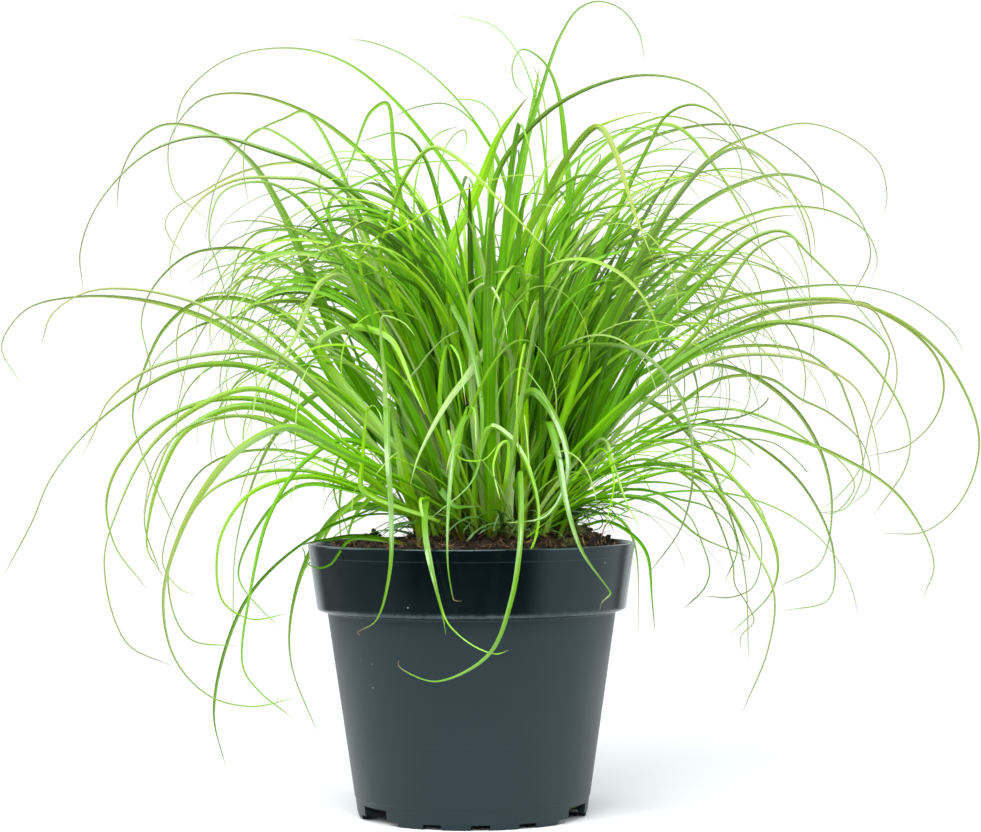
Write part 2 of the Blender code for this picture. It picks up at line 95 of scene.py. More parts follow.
# Along a blade, as (share of its length, factor): how deep it is folded, how wide it is, and how its tip
# is pointed.
FOLDING = ((0.0, 0.8), (0.3, 0.95), (0.7, 0.9), (1.0, 0.7))
WIDTHS = ((0.0, 0.55), (0.14, 0.88), (0.34, 1.0), (0.6, 0.7), (0.8, 0.4), (0.93, 0.17), (1.0, 0.04))
TIP_POINT = ((0.0, 1.0), (0.96, 1.0), (1.0, 0.2))
LEAST_HALF_WIDTH = 0.23 * MM
BROWN_TIPS = (0.0, 0.0, 0.0, 0.012, 0.024, 0.042)  # the share of a leaf, at its tip, that is dry
SHARP_ANGLE = math.radians(34)  # a blade's edges that bend more than this are sharp

CURVE_SPACING = 0.8 * MM
STRAIGHT_SPACING = 8.0 * MM  # between a leaf's stations where it is straight
BEND_PER_STATION = 9.0  # degrees


# ---- Curves ------------------------------------------------------------------------------------------


def share(value, low, high):
    """How far a value is from low to high, eased at both ends and kept within 0 and 1."""
    t = np.clip((np.asarray(value, float) - low) / (high - low), 0, 1)
    return t * t * (3 - 2 * t)


def at_keys(places, keys):
    """What keys given as (place, value) say at these places, in straight lines from key to key."""
    return np.interp(places, *np.transpose(keys))


def lengths_along(points):
    """How far along a line each of its points is."""
    steps = np.linalg.norm(np.diff(points, axis=0), axis=1)
    return np.concatenate(([0.0], np.cumsum(steps)))


def shares_along(points):
    along = lengths_along(points)
    return along / along[-1]


def resampled(points, measure, wanted):
    """The places on a line of points at which a measure of it has these values."""
    return np.column_stack([np.interp(wanted, measure, points[:, k]) for k in range(3)])


def evenly(route, spacing=CURVE_SPACING):
    along = lengths_along(route)
    count = max(4, round(along[-1] / spacing))
    return resampled(route, along, np.linspace(0, along[-1], count + 1))


def smooth_route(places, spacing=CURVE_SPACING):
    """Evenly spaced points on a centripetal Catmull-Rom curve through these places."""
    places = np.asarray(places, float)
    ends = np.vstack((2 * places[0] - places[1], places, 2 * places[-1] - places[-2]))
    route = [places[:1]]
    for p0, p1, p2, p3 in zip(ends, ends[1:], ends[2:], ends[3:]):
        t1 = max(np.linalg.norm(p1 - p0) ** 0.5, 1e-4)
        t2 = t1 + max(np.linalg.norm(p2 - p1) ** 0.5, 1e-4)
        t3 = t2 + max(np.linalg.norm(p3 - p2) ** 0.5, 1e-4)
        count = max(2, round(np.linalg.norm(p2 - p1) / spacing * 2))
        t = np.linspace(t1, t2, count + 1)[1:, None]
        a1 = (t1 - t) / t1 * p0 + t / t1 * p1
        a2 = (t2 - t) / (t2 - t1) * p1 + (t - t1) / (t2 - t1) * p2
        a3 = (t3 - t) / (t3 - t2) * p2 + (t - t2) / (t3 - t2) * p3
        b1 = (t2 - t) / t2 * a1 + t / t2 * a2
        b2 = (t3 - t) / (t3 - t1) * a2 + (t - t1) / (t3 - t1) * a3
        route.append((t2 - t) / (t2 - t1) * b1 + (t - t1) / (t2 - t1) * b2)
    return evenly(np.vstack(route), spacing)


def stations(route):
    """Fewer points of an evenly spaced route: far apart where it is straight, and near where it bends."""
    steps = np.diff(route, axis=0)
    lengths = np.linalg.norm(steps, axis=1)
    ways = steps / lengths[:, None]
    turning = np.degrees(np.arccos(np.clip((ways[1:] * ways[:-1]).sum(axis=1), -1, 1)))
    effort = lengths / STRAIGHT_SPACING
    effort[1:] += np.convolve(turning, (0.25, 0.5, 0.25), "same") / BEND_PER_STATION
    measure = np.concatenate(([0], np.cumsum(effort)))
    wanted = np.linspace(0, measure[-1], max(6, math.ceil(measure[-1])) + 1)
    return resampled(route, measure, wanted)


def side_frames(route):
    """The sides and upward faces of a leaf that bends without turning about itself."""
    tangents = np.gradient(route, axis=0)
    tangents /= np.linalg.norm(tangents, axis=1)[:, None]
    level = int(np.argmin(np.abs(tangents[:, 2])))
    sides = np.zeros_like(route)
    start = np.cross(tangents[level], (0, 0, 1))
    sides[level] = start / max(np.linalg.norm(start), 1e-9)
    for order in (range(level + 1, len(route)), range(level - 1, -1, -1)):
        side = sides[level]
        for i in order:
            side = side - tangents[i] * side.dot(tangents[i])
            side = side / math.sqrt(side.dot(side))
            sides[i] = side
    faces = np.cross(sides, tangents)
    return sides, (-faces if faces[level, 2] < 0 else faces)


def twisted(route, turns):
    """Sides and faces turned about the leaf by angles given as (share of its length, degrees)."""
    sides, faces = side_frames(route)
    angle = np.radians(at_keys(shares_along(route), turns))[:, None]
    return sides * np.cos(angle) + faces * np.sin(angle), faces * np.cos(angle) - sides * np.sin(angle)


def from_photo(column, row, depth):
    """The place at this depth behind the pot's axis that is seen at this column and row."""
    scale = (CAMERA_DISTANCE + depth) / PHOTO_FOCAL
    x = CAMERA_X + (column - PHOTO_WIDTH / 2) * scale
    return np.array((x, depth, CAMERA_HEIGHT - (row - PHOTO_EYE_ROW) * scale))


# How a leaf may be turned about itself, in degrees to either side.
FOOT_TURN = 95
LOWER_TURN = 50
TIP_TURN = 70
FLAT_TURNS = (5, 28)  # where it arches, from lying flat
SIDEWAYS_TURN = 38  # more there for a leaf that leans to the side, which would show its edge alone
TRACED_TURN = 34
FACING_BLUR = 12 * MM  # to each side


def natural_turns(route, rng):
    """A leaf faces any way at its foot, half turns its face up where it arches, and turns on at its tip."""
    top = float(np.clip(shares_along(route)[int(np.argmax(route[:, 2]))], 0.15, 0.85))
    reach = route[-1] - route[0]
    sideways = abs(reach[0]) / max(math.hypot(reach[0], reach[1]), MM)
    flat = rng.choice((-1, 1)) * (rng.uniform(*FLAT_TURNS) + SIDEWAYS_TURN * sideways)
    return (
        (0.0, rng.uniform(-FOOT_TURN, FOOT_TURN)), (top * 0.55, flat + rng.uniform(-LOWER_TURN, LOWER_TURN)),
        (top, flat), (1.0, flat + rng.uniform(-TIP_TURN, TIP_TURN)),
    )


def facing_turns(route, rng):
    """The turns that show a traced leaf's width to the front, as the photograph does, unevenly."""
    sides, faces = side_frames(route)
    # Doubled angles are blurred, because a face and its back look the same.
    doubled = (1j * sides[:, 1] - faces[:, 1]) ** 2 + 1e-6
    length = lengths_along(route)[-1]
    near = np.ones(2 * round(FACING_BLUR / (length / len(route))) + 1)
    angle = np.degrees(np.unwrap(np.angle(np.convolve(doubled, near, "same")[: len(route)])) / 2)
    along = shares_along(route)
    uneven = np.interp(along, (0, 0.35, 0.7, 1), [rng.uniform(-TRACED_TURN, TRACED_TURN) for _ in range(4)])
    return np.column_stack((along, angle + uneven))


# ---- Meshes and blades -------------------------------------------------------------------------------


def placed(name, data):
    obj = bpy.data.objects.new(name, data)
    bpy.context.scene.collection.objects.link(obj)
    return obj


def piece_of(name, mesh, material):
    """A visible piece of the plant, which rides on the one body."""
    obj = placed(name, mesh)
    mesh.materials.clear()
    mesh.materials.append(material)
    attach(obj, "root")
    return obj


def mesh_of(name, points, corners, sizes):
    """A mesh from its points, its faces' corners one after another, and how many corners each has."""
    mesh = bpy.data.meshes.new(name)
    mesh.vertices.add(len(points))
    mesh.vertices.foreach_set("co", np.asarray(points, np.float32).reshape(-1))
    mesh.loops.add(len(corners))
    mesh.loops.foreach_set("vertex_index", np.asarray(corners, np.int32))
    mesh.polygons.add(len(sizes))
    starts = np.concatenate(([0], np.cumsum(sizes)[:-1]))
    mesh.polygons.foreach_set("loop_start", np.asarray(starts, np.int32))
    mesh.update(calc_edges=True)
    mesh.validate()
    mesh.shade_smooth()
    return mesh


def mesh_from(name, shape):
    mesh = bpy.data.meshes.new(name)
    shape.to_mesh(mesh)
    shape.free()
    return mesh


def paint_looks(mesh, looks):
    """Gives each point its (share along, share across, tone, dryness), for the materials."""
    attribute = mesh.attributes.new("blade", "FLOAT_COLOR", "POINT")
    attribute.data.foreach_set("color", looks.astype(np.float32).reshape(-1))


class Sheaf:
    """Blades gathered into one mesh."""

    def __init__(self, name):
        self.name = name
        self.points, self.corners, self.sizes, self.looks = [], [], [], []
        self.count = 0

    def add(self, route, half_widths, turns, tone, section=BROAD, brown=0.0, least=LEAST_HALF_WIDTH):
        """One closed blade, dry over this share of it at its tip."""
        ring = np.array(section)
        size, rows = len(ring), len(route)
        along = shares_along(route)
        sides, faces = twisted(route, turns)
        half_widths = np.maximum(half_widths, least * at_keys(along, TIP_POINT))
        heights = half_widths * at_keys(along, FOLDING)
        points = (
            route[:, None, :]
            + sides[:, None, :] * ring[None, :, 0, None] * half_widths[:, None, None]
            + faces[:, None, :] * ring[None, :, 1, None] * heights[:, None, None]
        )
        look = np.empty((rows, size, 4))
        look[..., 0] = along[:, None]
        look[..., 1] = ring[None, :, 0] * 0.5 + 0.5
        look[..., 2] = tone
        look[..., 3] = (share(along, 1 - brown - 1e-3, 1.0) * (brown > 0))[:, None]
        row_starts = np.arange(rows - 1)[:, None] * size + self.count
        i = row_starts + np.arange(size)[None, :]
        j = row_starts + (np.arange(size)[None, :] + 1) % size
        quads = np.stack((i, j, j + size, i + size), axis=-1).reshape(-1)
        foot = np.arange(size)[::-1] + self.count
        tip = np.arange(size) + (rows - 1) * size + self.count
        self.points.append(points.reshape(-1, 3))
        self.looks.append(look.reshape(-1, 4))
        self.corners += [quads, foot, tip]
        self.sizes += [np.full((rows - 1) * size, 4), [size], [size]]
        self.count += rows * size

    def make(self, material, slot):
        points = np.concatenate(self.points)
        mesh = mesh_of(self.name, points, np.concatenate(self.corners), np.concatenate(self.sizes))
        paint_looks(mesh, np.concatenate(self.looks))
        bm = bmesh.new()
        bm.from_mesh(mesh)
        bmesh.ops.recalc_face_normals(bm, faces=bm.faces)
        bm.to_mesh(mesh)
        bm.free()
        mesh.set_sharp_from_angle(angle=SHARP_ANGLE)
        return piece_of(self.name, mesh, material)


# ---- Materials ---------------------------------------------------------------------------------------


class Nodes:
    """A short way to write the nodes of a material or a world."""

    def __init__(self, owner):
        owner.use_nodes = True
        self.owner = owner
        self.tree = owner.node_tree
        self.tree.nodes.clear()

    def add(self, kind, inputs=None, **settings):
        """A node with its settings, each input linked to a socket or set to a value."""
        node = self.tree.nodes.new(kind)
        for name, value in settings.items():
            setattr(node, name, value)
        for key, value in (inputs or {}).items():
            socket = node.inputs[key]
            if isinstance(value, bpy.types.NodeSocket):
                self.tree.links.new(value, socket)
            else:
                socket.default_value = (*value, 1) if socket.type == "RGBA" else value
        return node

    def math(self, operation, a, b=0.0, c=0.0, clamp=False):
        return self.add("ShaderNodeMath", {0: a, 1: b, 2: c}, operation=operation, use_clamp=clamp).outputs[0]

    def times(self, a, b):
        return self.math("MULTIPLY", a, b)

    def plus(self, a, b, clamp=False):
        return self.math("ADD", a, b, clamp=clamp)

    def scaled(self, value, factor, offset):
        return self.math("MULTIPLY_ADD", value, factor, offset)

    def distance(self, a, b):
        return self.math("ABSOLUTE", self.math("SUBTRACT", a, b))

    def ramp(self, factor, *stops):
        node = self.add("ShaderNodeValToRGB", {"Fac": factor})
        elements = node.color_ramp.elements
        node.color_ramp.interpolation = "EASE"
        while len(elements) < len(stops):
            elements.new(0.5)
        for element, (place, colour) in zip(elements, stops):
            element.position = place
            element.color = (*colour, 1)
        return node.outputs["Color"]

    def between(self, value, low, high, to_low=0.0, to_high=1.0):
        """to_low where the value is low, to_high where it is high, and an eased step between them."""
        inputs = {"Value": value, "From Min": low, "From Max": high, "To Min": to_low, "To Max": to_high}
        return self.add("ShaderNodeMapRange", inputs, interpolation_type="SMOOTHSTEP").outputs["Result"]

    def mix(self, factor, a, b):
        return self.add("ShaderNodeMix", {0: factor, 6: a, 7: b}, data_type="RGBA").outputs[2]

    def noise(self, scale, detail, vector, roughness=0.5):
        inputs = {"Scale": scale, "Detail": detail, "Roughness": roughness, "Vector": vector}
        return self.add("ShaderNodeTexNoise", inputs).outputs["Fac"]

    def bump(self, height, strength, distance):
        inputs = {"Height": height, "Strength": strength, "Distance": distance}
        return self.add("ShaderNodeBump", inputs).outputs["Normal"]

    def position(self):
        return self.add("ShaderNodeNewGeometry").outputs["Position"]

    def blade_look(self):
        """How far along and across its blade a point is, the blade's tone, and how dry it is."""
        look = self.add("ShaderNodeAttribute", attribute_name="blade")
        parts = self.add("ShaderNodeSeparateColor", {"Color": look.outputs["Color"]}).outputs
        return parts[0], parts[1], parts[2], look.outputs["Alpha"]

    def principled(self, colour, rough, normal, level, more=None):
        inputs = {"Base Color": colour, "Roughness": rough, "Normal": normal, "Specular IOR Level": level}
        return self.add("ShaderNodeBsdfPrincipled", {**inputs, **(more or {})}).outputs[0]

    def shine_through(self, share_through, surface, inputs):
        """A surface with this share of light that comes through it from behind."""
        behind = self.add("ShaderNodeBsdfTranslucent", inputs).outputs[0]
        return self.add("ShaderNodeMixShader", {0: share_through, 1: surface, 2: behind}).outputs[0]

    def show(self, shader, output="ShaderNodeOutputMaterial"):
        self.add(output, {"Surface": shader})
        return self.owner


def new_material(name):
    return Nodes(bpy.data.materials.new(name))


# Leaves: each kind's deep, plain and bright green, and the green of light that comes through.
GREENS = ((0.034, 0.13, 0.0002), (0.17, 0.56, 0.0002), (0.38, 0.76, 0.0005), (0.39, 0.65, 0.0002))
HANGING_GREENS = ((0.03, 0.11, 0.002), (0.16, 0.43, 0.006), (0.42, 0.68, 0.08), (0.36, 0.54, 0.004))
BLUE_GREENS = ((0.03, 0.11, 0.015), (0.1, 0.27, 0.05), (0.32, 0.52, 0.26), (0.24, 0.5, 0.1))
PALE_GREEN = (0.46, 0.66, 0.2)
GREY_GREEN = (0.35, 0.26, 0.13)
GREY_FROM, GREY_TO = 0.068, 0.165  # metres from the pot's foot, in which height counts for less
GREY_SHARE = 0.52  # of the darkest leaf, far out
GREY_MORE = 0.2  # added to that for the palest one
HEIGHT_COUNTS = 0.4
# The pale bluish colour of a painted highlight on one half of a leaf's fold, and its greatest share far out.
PAINTED_HIGHLIGHT_GREEN = (0.4, 0.6, 0.3)
PAINTED_HIGHLIGHT_SHARE = 0.6
VEIN_PAIRS = 3
FOOT_GREEN = (0.2, 0.36, 0.01)
FOOT_STAIN = (0.09, 0.03, 0.006)
DRY_BROWN = (0.22, 0.13, 0.04)
DRY_STRAW = (0.4, 0.31, 0.12)
COAT_ROUGHNESS = 0.16
LEAF_SHINE_THROUGH = 0.36


def leaf_grain(n, along, across, tone):
    """Noise that is drawn out along the leaf, and other on each leaf."""
    inputs = {"X": n.times(along, 13.0), "Y": n.times(across, 4.0), "Z": n.times(tone, 61.0)}
    return n.noise(1.0, 2.0, n.add("ShaderNodeCombineXYZ", inputs).outputs[0])


def outer_colour(n, colour, look, place, greying):
    """The parts that hang far out are greyer, and here and there one half of a leaf's fold has a painted, pale
    bluish highlight.
    """
    along, across, tone, _ = look
    flat = n.add("ShaderNodeVectorMath", {0: place, 1: (1.0, 1.0, HEIGHT_COUNTS)}, operation="MULTIPLY")
    away = n.add("ShaderNodeVectorMath", {0: flat.outputs["Vector"]}, operation="LENGTH").outputs["Value"]
    outward = n.between(away, GREY_FROM, GREY_TO)
    grey = n.scaled(tone, GREY_MORE * greying, GREY_SHARE * greying)
    colour = n.mix(n.times(outward, grey), colour, GREY_GREEN)
    # Painted highlight: one half of the fold, chosen by the leaf's tone, is made pale and bluish in patches,
    # more so far out.
    half = n.between(n.math("FRACT", n.times(tone, 37.7)), 0.49, 0.51)
    highlit_half = n.distance(n.between(across, 0.46, 0.56), half)
    stretch = n.add("ShaderNodeCombineXYZ", {"X": n.times(along, 2.6), "Z": n.times(tone, 83.0)})
    here = n.between(n.noise(1.0, 1.0, stretch.outputs[0]), 0.42, 0.6)
    return n.mix(n.times(n.times(highlit_half, here), n.times(outward, PAINTED_HIGHLIGHT_SHARE)), colour, PAINTED_HIGHLIGHT_GREEN)


def leaf_material(name, deep, plain, bright, through, shine, coat=0.0, greying=1.0):
    """Living leaf: colour by leaf, darker veins, a pale fold, brown tips, and light coming through."""
    n = new_material(name)
    place = n.position()
    look = n.blade_look()
    along, across, tone, dry = look
    patches = n.noise(55.0, 3.0, place)
    grain = leaf_grain(n, along, across, tone)
    shade = n.plus(tone, n.scaled(patches, 0.3, -0.15), clamp=True)
    colour = n.ramp(shade, (0.0, deep), (0.4, plain), (0.75, bright), (1.0, PALE_GREEN))
    # Fine veins run the length of the leaf, beside a paler fold.
    vein = n.scaled(n.math("SINE", n.times(across, VEIN_PAIRS * math.tau)), 0.5, 0.5)
    colour = n.mix(n.times(vein, 0.24), colour, deep)
    fold = n.between(n.distance(across, 0.5), 0.0, 0.075, 1.0, 0.0)
    colour = n.mix(n.times(fold, 0.34), colour, bright)
    streak = n.times(n.between(grain, 0.42, 0.7), n.scaled(tone, 0.3, 0.02))
    colour = outer_colour(n, n.mix(streak, colour, PALE_GREEN), look, place, greying)
    # Pale yellow-green toward the foot, red-brown in the last of it.
    colour = n.mix(n.between(along, 0.02, 0.3, 0.3, 0.0), colour, FOOT_GREEN)
    stained = n.times(n.between(along, 0.05, 0.17, 0.9, 0.0), n.between(patches, 0.4, 0.56))
    colour = n.mix(stained, colour, FOOT_STAIN)
    brown = n.mix(n.between(grain, 0.3, 0.7), DRY_BROWN, DRY_STRAW)
    colour = n.mix(dry, colour, brown)
    rough = n.between(patches, 0.25, 0.75, 0.17, 0.28)
    normal = n.bump(n.scaled(grain, 0.3, vein), 0.1, 0.00008)
    gloss = {"IOR": 1.5, "Coat Weight": coat, "Coat Roughness": COAT_ROUGHNESS}
    surface = n.principled(colour, rough, normal, shine, gloss)
    glow = n.mix(dry, n.mix(0.7, colour, through), brown)
    return n.show(n.shine_through(LEAF_SHINE_THROUGH, surface, {"Color": glow, "Normal": normal}))


# The pot's plastic on its body and on its collar: two shades, worn lines, and the tint of its reflections.
BODY_SHADES = ((0.008, 0.014, 0.017), (0.012, 0.019, 0.022))
COLLAR_SHADES = ((0.0003, 0.002, 0.003), (0.001, 0.0035, 0.0045))
BODY_WORN = (0.018, 0.027, 0.031)
COLLAR_WORN = (0.002, 0.005, 0.006)
BODY_SHEEN = (0.38, 0.52, 0.56)
COLLAR_SHEEN = (0.7, 0.96, 1.0)
SMUDGE = (0.012, 0.018, 0.021)
# Dust colour, also used as a painted highlight along the collar's rounded lower edge.
DUST_AND_HIGHLIGHT = (0.16, 0.2, 0.21)
SPECK = (0.5, 0.55, 0.56)
COLLAR_STEP = (73.5 * MM, 76.5 * MM)  # the body ends and the collar begins between these heights
LEDGE_HEIGHT = 76.2 * MM
LEDGE_DUST_AND_HIGHLIGHT_REACH = 1.6 * MM
LIP = (99.2 * MM, 100 * MM)


def pot_dust_and_highlight(n, colour, place, height, fine):
    """Dust on the lip, rare specks anywhere, and on the ledge under the collar a pale band that is dust and
    also a painted highlight along the collar's rounded lower edge.
    """
    # Painted highlight: a pale band of dust colour along the collar's rounded lower edge at the ledge.
    ledge = n.between(n.distance(height, LEDGE_HEIGHT), 0.0, LEDGE_DUST_AND_HIGHLIGHT_REACH, 1.0, 0.0)
    edges = n.math("MAXIMUM", ledge, n.between(height, *LIP))
    colour = n.mix(n.times(edges, n.between(fine, 0.35, 0.7, 0.04, 0.2)), colour, DUST_AND_HIGHLIGHT)
    specks = n.add("ShaderNodeTexVoronoi", {"Vector": place, "Scale": 230.0, "Randomness": 1.0})
    chance = n.add("ShaderNodeSeparateColor", {"Color": specks.outputs["Color"]}).outputs[0]
    spot = n.between(specks.outputs["Distance"], 0.03, 0.075, 1.0, 0.0)
    speck = n.times(spot, n.between(chance, 0.9, 0.93))
    return n.mix(n.times(speck, 0.6), colour, SPECK)


def pot_material():
    """Recycled black plastic: slate grey, semi-matte, faint moulding lines and scuffs, specks of dust, and a
    painted highlight along the collar's lower edge.
    """
    n = new_material("pot_plastic")
    place = n.position()
    height = n.add("ShaderNodeSeparateXYZ", {"Vector": place}).outputs["Z"]
    collar = n.between(height, *COLLAR_STEP)
    cloud = n.noise(26.0, 4.0, place)
    fine = n.noise(420.0, 3.0, place)
    flattened = n.add("ShaderNodeMapping", {"Vector": place, "Scale": (5.0, 5.0, 900.0)}).outputs[0]
    lines = n.noise(1.0, 3.0, flattened, 0.6)
    colour = n.mix(collar, n.mix(cloud, *BODY_SHADES), n.mix(cloud, *COLLAR_SHADES))
    colour = n.mix(n.between(lines, 0.5, 0.8, 0.0, 0.22), colour, n.mix(collar, BODY_WORN, COLLAR_WORN))
    smudge = n.times(n.between(n.noise(31.0, 5.0, place, 0.6), 0.52, 0.75, 0.0, 0.5), collar)
    colour = pot_dust_and_highlight(n, n.mix(smudge, colour, SMUDGE), place, height, fine)
    rough = n.plus(n.between(cloud, 0.3, 0.7, 0.36, 0.44), n.times(collar, -0.25))
    rough = n.scaled(fine, 0.05, rough)
    normal = n.bump(n.plus(n.times(lines, 0.7), n.times(fine, 0.35)), 0.06, 0.0002)
    gloss = {"IOR": 1.5, "Specular Tint": n.mix(collar, BODY_SHEEN, COLLAR_SHEEN)}
    return n.show(n.principled(colour, rough, normal, 0.62, gloss))


PEAT = (
    (0.4, (0.0015, 0.001, 0.0006)), (0.53, (0.005, 0.003, 0.0015)), (0.6, (0.05, 0.026, 0.008)),
    (0.68, (0.36, 0.2, 0.06)),
)
PEAT_PATCH = (0.012, 0.006, 0.003)
MOSS_SHADES = ((0.012, 0.014, 0.003), (0.11, 0.13, 0.03))


def soil_material():
    """Damp peat with orange-brown fibre, a little green where moss has taken."""
    n = new_material("soil_peat")
    place = n.position()
    grain = n.noise(620.0, 6.0, place, 0.65)
    patch = n.noise(90.0, 4.0, place)
    colour = n.mix(n.between(patch, 0.4, 0.7, 0.0, 0.3), n.ramp(grain, *PEAT), PEAT_PATCH)
    moss = n.add("ShaderNodeAttribute", attribute_name="moss").outputs["Fac"]
    colour = n.mix(moss, colour, n.mix(grain, *MOSS_SHADES))
    normal = n.bump(n.plus(grain, n.times(patch, 0.6)), 0.9, 0.0012)
    return n.show(n.principled(colour, 0.88, normal, 0.25))


PEAT_BLACK = (0.006, 0.003, 0.0015)
COIR = (0.42, 0.24, 0.09)
BARK = (0.08, 0.03, 0.01)


def fibre_material(name, dark, light):
    """Dry fibre, coloured thread by thread by the blade's own tone."""
    n = new_material(name)
    tone = n.blade_look()[2]
    grain = n.noise(700.0, 3.0, n.position())
    shade = n.plus(tone, n.scaled(grain, 0.4, -0.2), clamp=True)
    colour = n.ramp(shade, (0.0, dark), (1.0, light))
    return n.show(n.principled(colour, 0.8, n.bump(grain, 0.4, 0.0002), 0.3))


SHEATH_COLOURS = (
    (0.0, (0.03, 0.009, 0.004)), (0.3, (0.11, 0.035, 0.009)), (0.5, (0.17, 0.15, 0.02)),
    (0.7, (0.17, 0.32, 0.015)), (1.0, (0.15, 0.38, 0.005)),
)
SHEATH_RIB = (0.3, 0.28, 0.09)


def sheath_material():
    """Leaf sheaths: red-brown and papery at the soil, pale green above, ribbed lengthways."""
    n = new_material("leaf_sheath")
    along, across, tone, _ = n.blade_look()
    grain = n.noise(500.0, 3.0, n.position())
    up = n.plus(along, n.scaled(grain, 0.3, -0.15))
    up = n.plus(up, n.scaled(tone, 0.36, -0.18), clamp=True)
    ribs = n.math("SINE", n.times(across, 60.0))
    colour = n.mix(n.between(ribs, -0.2, 1.0, 0.0, 0.12), n.ramp(up, *SHEATH_COLOURS), SHEATH_RIB)
    surface = n.principled(colour, 0.5, n.bump(n.plus(ribs, grain), 0.3, 0.0002), 0.45)
    return n.show(n.shine_through(0.2, surface, {"Color": colour}))


# ---- Pot and soil ------------------------------------------------------------------------------------


# The pot, measured like the frame's own: the outside from rim to foot as (radius, height, rounding) in mm.
POT_OUTSIDE_MM = (
    (58.75, 100.0, 0.5), (60.0, 99.7, 0.5), (59.43, 95.6, 0.2), (59.33, 95.2, 0.2), (56.95, 78.6, 0.6),
    (56.6, 75.6, 1.5), (52.9, 74.9, 0.7), (43.2, 7.6, 0.2), (42.9, 7.1, 0.2), (42.3, 2.4, 0.8),
    (41.5, 0.0, 0.5),
)
POT_INSIDE_MM = (
    (39.8, 0.0, 0.4), (39.6, 3.0, 0.5), (0.0, 3.0, 0.0), (0.0, 4.2, 0.0), (41.4, 4.2, 1.0), (51.5, 75.6, 0.6),
    (55.6, 78.0, 0.8), (58.3, 98.9, 0.4),
)
POT_STEPS = 240
ARC_STEPS = 5
ARC_REACH = 0.45  # of the shorter side beside a corner, at most
POT_SHARP_ANGLE = math.radians(30)
NOTCH_ANGLES = (64.3, 184.3, 304.3)  # degrees from the front, turning toward +X
NOTCH_WIDTH = 14.6 * MM
NOTCH_HEIGHT = 5.65 * MM
NOTCH_INNER_RADIUS = 32 * MM
GAP_FIRST_ANGLE = 4.3
GAP_COUNT = 15
GAP_WIDTH = 8.0 * MM
GAP_TOP_WIDTH = 6.6 * MM
GAP_HEIGHT = 1.9 * MM
GAP_INNER_RADIUS = 38 * MM
CUT_OUTER_RADIUS = 46 * MM
CUT_BELOW = -1 * MM
RIM_RADIUS = 60 * MM
RIM_HEIGHT = 100 * MM


def rounded(outline_mm):
    """An outline of (radius, height, rounding) as points, each corner an arc of its rounding."""
    points = []
    total = len(outline_mm)
    for i, (x, z, radius) in enumerate(outline_mm):
        corner = Vector((x, z))
        before = Vector(outline_mm[i - 1][:2]) - corner
        after = Vector(outline_mm[(i + 1) % total][:2]) - corner
        if radius == 0:
            points.append(corner)
            continue
        half = before.angle(after) / 2
        run = min(radius / math.tan(half), before.length * ARC_REACH, after.length * ARC_REACH)
        start, end = corner + before.normalized() * run, corner + after.normalized() * run
        for k in range(ARC_STEPS + 1):
            t = k / ARC_STEPS
            points.append(start.lerp(corner, t).lerp(corner.lerp(end, t), t))
    return points


def around(angle):
    turn = math.radians(angle)
    return Vector((math.sin(turn), -math.cos(turn), 0))


def foot_cutter(name, angles, inner_radius, height, width, top_width):
    """Blocks to cut from the pot's foot at these angles."""
    shape = bmesh.new()
    depth = CUT_OUTER_RADIUS - inner_radius
    for angle in angles:
        for corner in bmesh.ops.create_cube(shape, size=1)["verts"]:
            is_top = corner.co.z > 0
            side = corner.co.x * (top_width if is_top else width)
            place = around(angle) * (inner_radius + depth / 2 + corner.co.y * depth)
            place += around(angle + 90) * side
            place.z = height if is_top else CUT_BELOW
            corner.co = place
    bmesh.ops.recalc_face_normals(shape, faces=shape.faces)
    return placed(name, mesh_from(name, shape))


def pot_body():
    """The pot's outline turned about its axis."""
    outline = rounded(POT_OUTSIDE_MM + POT_INSIDE_MM)
    shape = bmesh.new()
    corners = [shape.verts.new((p.x * MM, 0, p.y * MM)) for p in outline]
    for start, end in zip(corners, corners[1:] + corners[:1]):
        if start.co.x > 0 or end.co.x > 0:
            shape.edges.new((start, end))
    bmesh.ops.spin(
        shape, geom=shape.verts[:] + shape.edges[:], cent=(0, 0, 0), axis=(0, 0, 1), angle=math.tau,
        steps=POT_STEPS, use_merge=True,
    )
    bmesh.ops.remove_doubles(shape, verts=shape.verts, dist=1e-6)
    bmesh.ops.recalc_face_normals(shape, faces=shape.faces)
    return mesh_from("pot_shell", shape)


def cut_away(obj, cutters):
    for cutter in cutters:
        cut = obj.modifiers.new(cutter.name, "BOOLEAN")
        cut.operation = "DIFFERENCE"
        cut.solver = "EXACT"
        cut.object = cutter
    bpy.context.view_layer.update()
    evaluated = obj.evaluated_get(bpy.context.evaluated_depsgraph_get())
    baked = bpy.data.meshes.new_from_object(evaluated)
    obj.modifiers.clear()
    obj.data = baked
    for cutter in cutters:
        bpy.data.objects.remove(cutter, do_unlink=True)


def make_pot():
    pot = piece_of("pot_shell", pot_body(), pot_material())
    gaps = [GAP_FIRST_ANGLE + 360 / GAP_COUNT * k for k in range(GAP_COUNT)]
    notches = foot_cutter("notches", NOTCH_ANGLES, NOTCH_INNER_RADIUS, NOTCH_HEIGHT, NOTCH_WIDTH, NOTCH_WIDTH)
    shallow = foot_cutter("gaps", gaps, GAP_INNER_RADIUS, GAP_HEIGHT, GAP_WIDTH, GAP_TOP_WIDTH)
    cut_away(pot, (notches, shallow))
    pot.data.shade_smooth()
    pot.data.set_sharp_from_angle(angle=POT_SHARP_ANGLE)
    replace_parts(pot, "pot")


def node_tree(name):
    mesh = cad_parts[name].data
    return BVHTree.FromPolygons([v.co for v in mesh.vertices], [p.vertices for p in mesh.polygons])


def top_of(tree, x, y):
    """Height of a node's surface from above, or None beside it."""
    hit = tree.ray_cast(Vector((x, y, 0.2)), Vector((0, 0, -1)))[0]
    return hit.z if hit else None


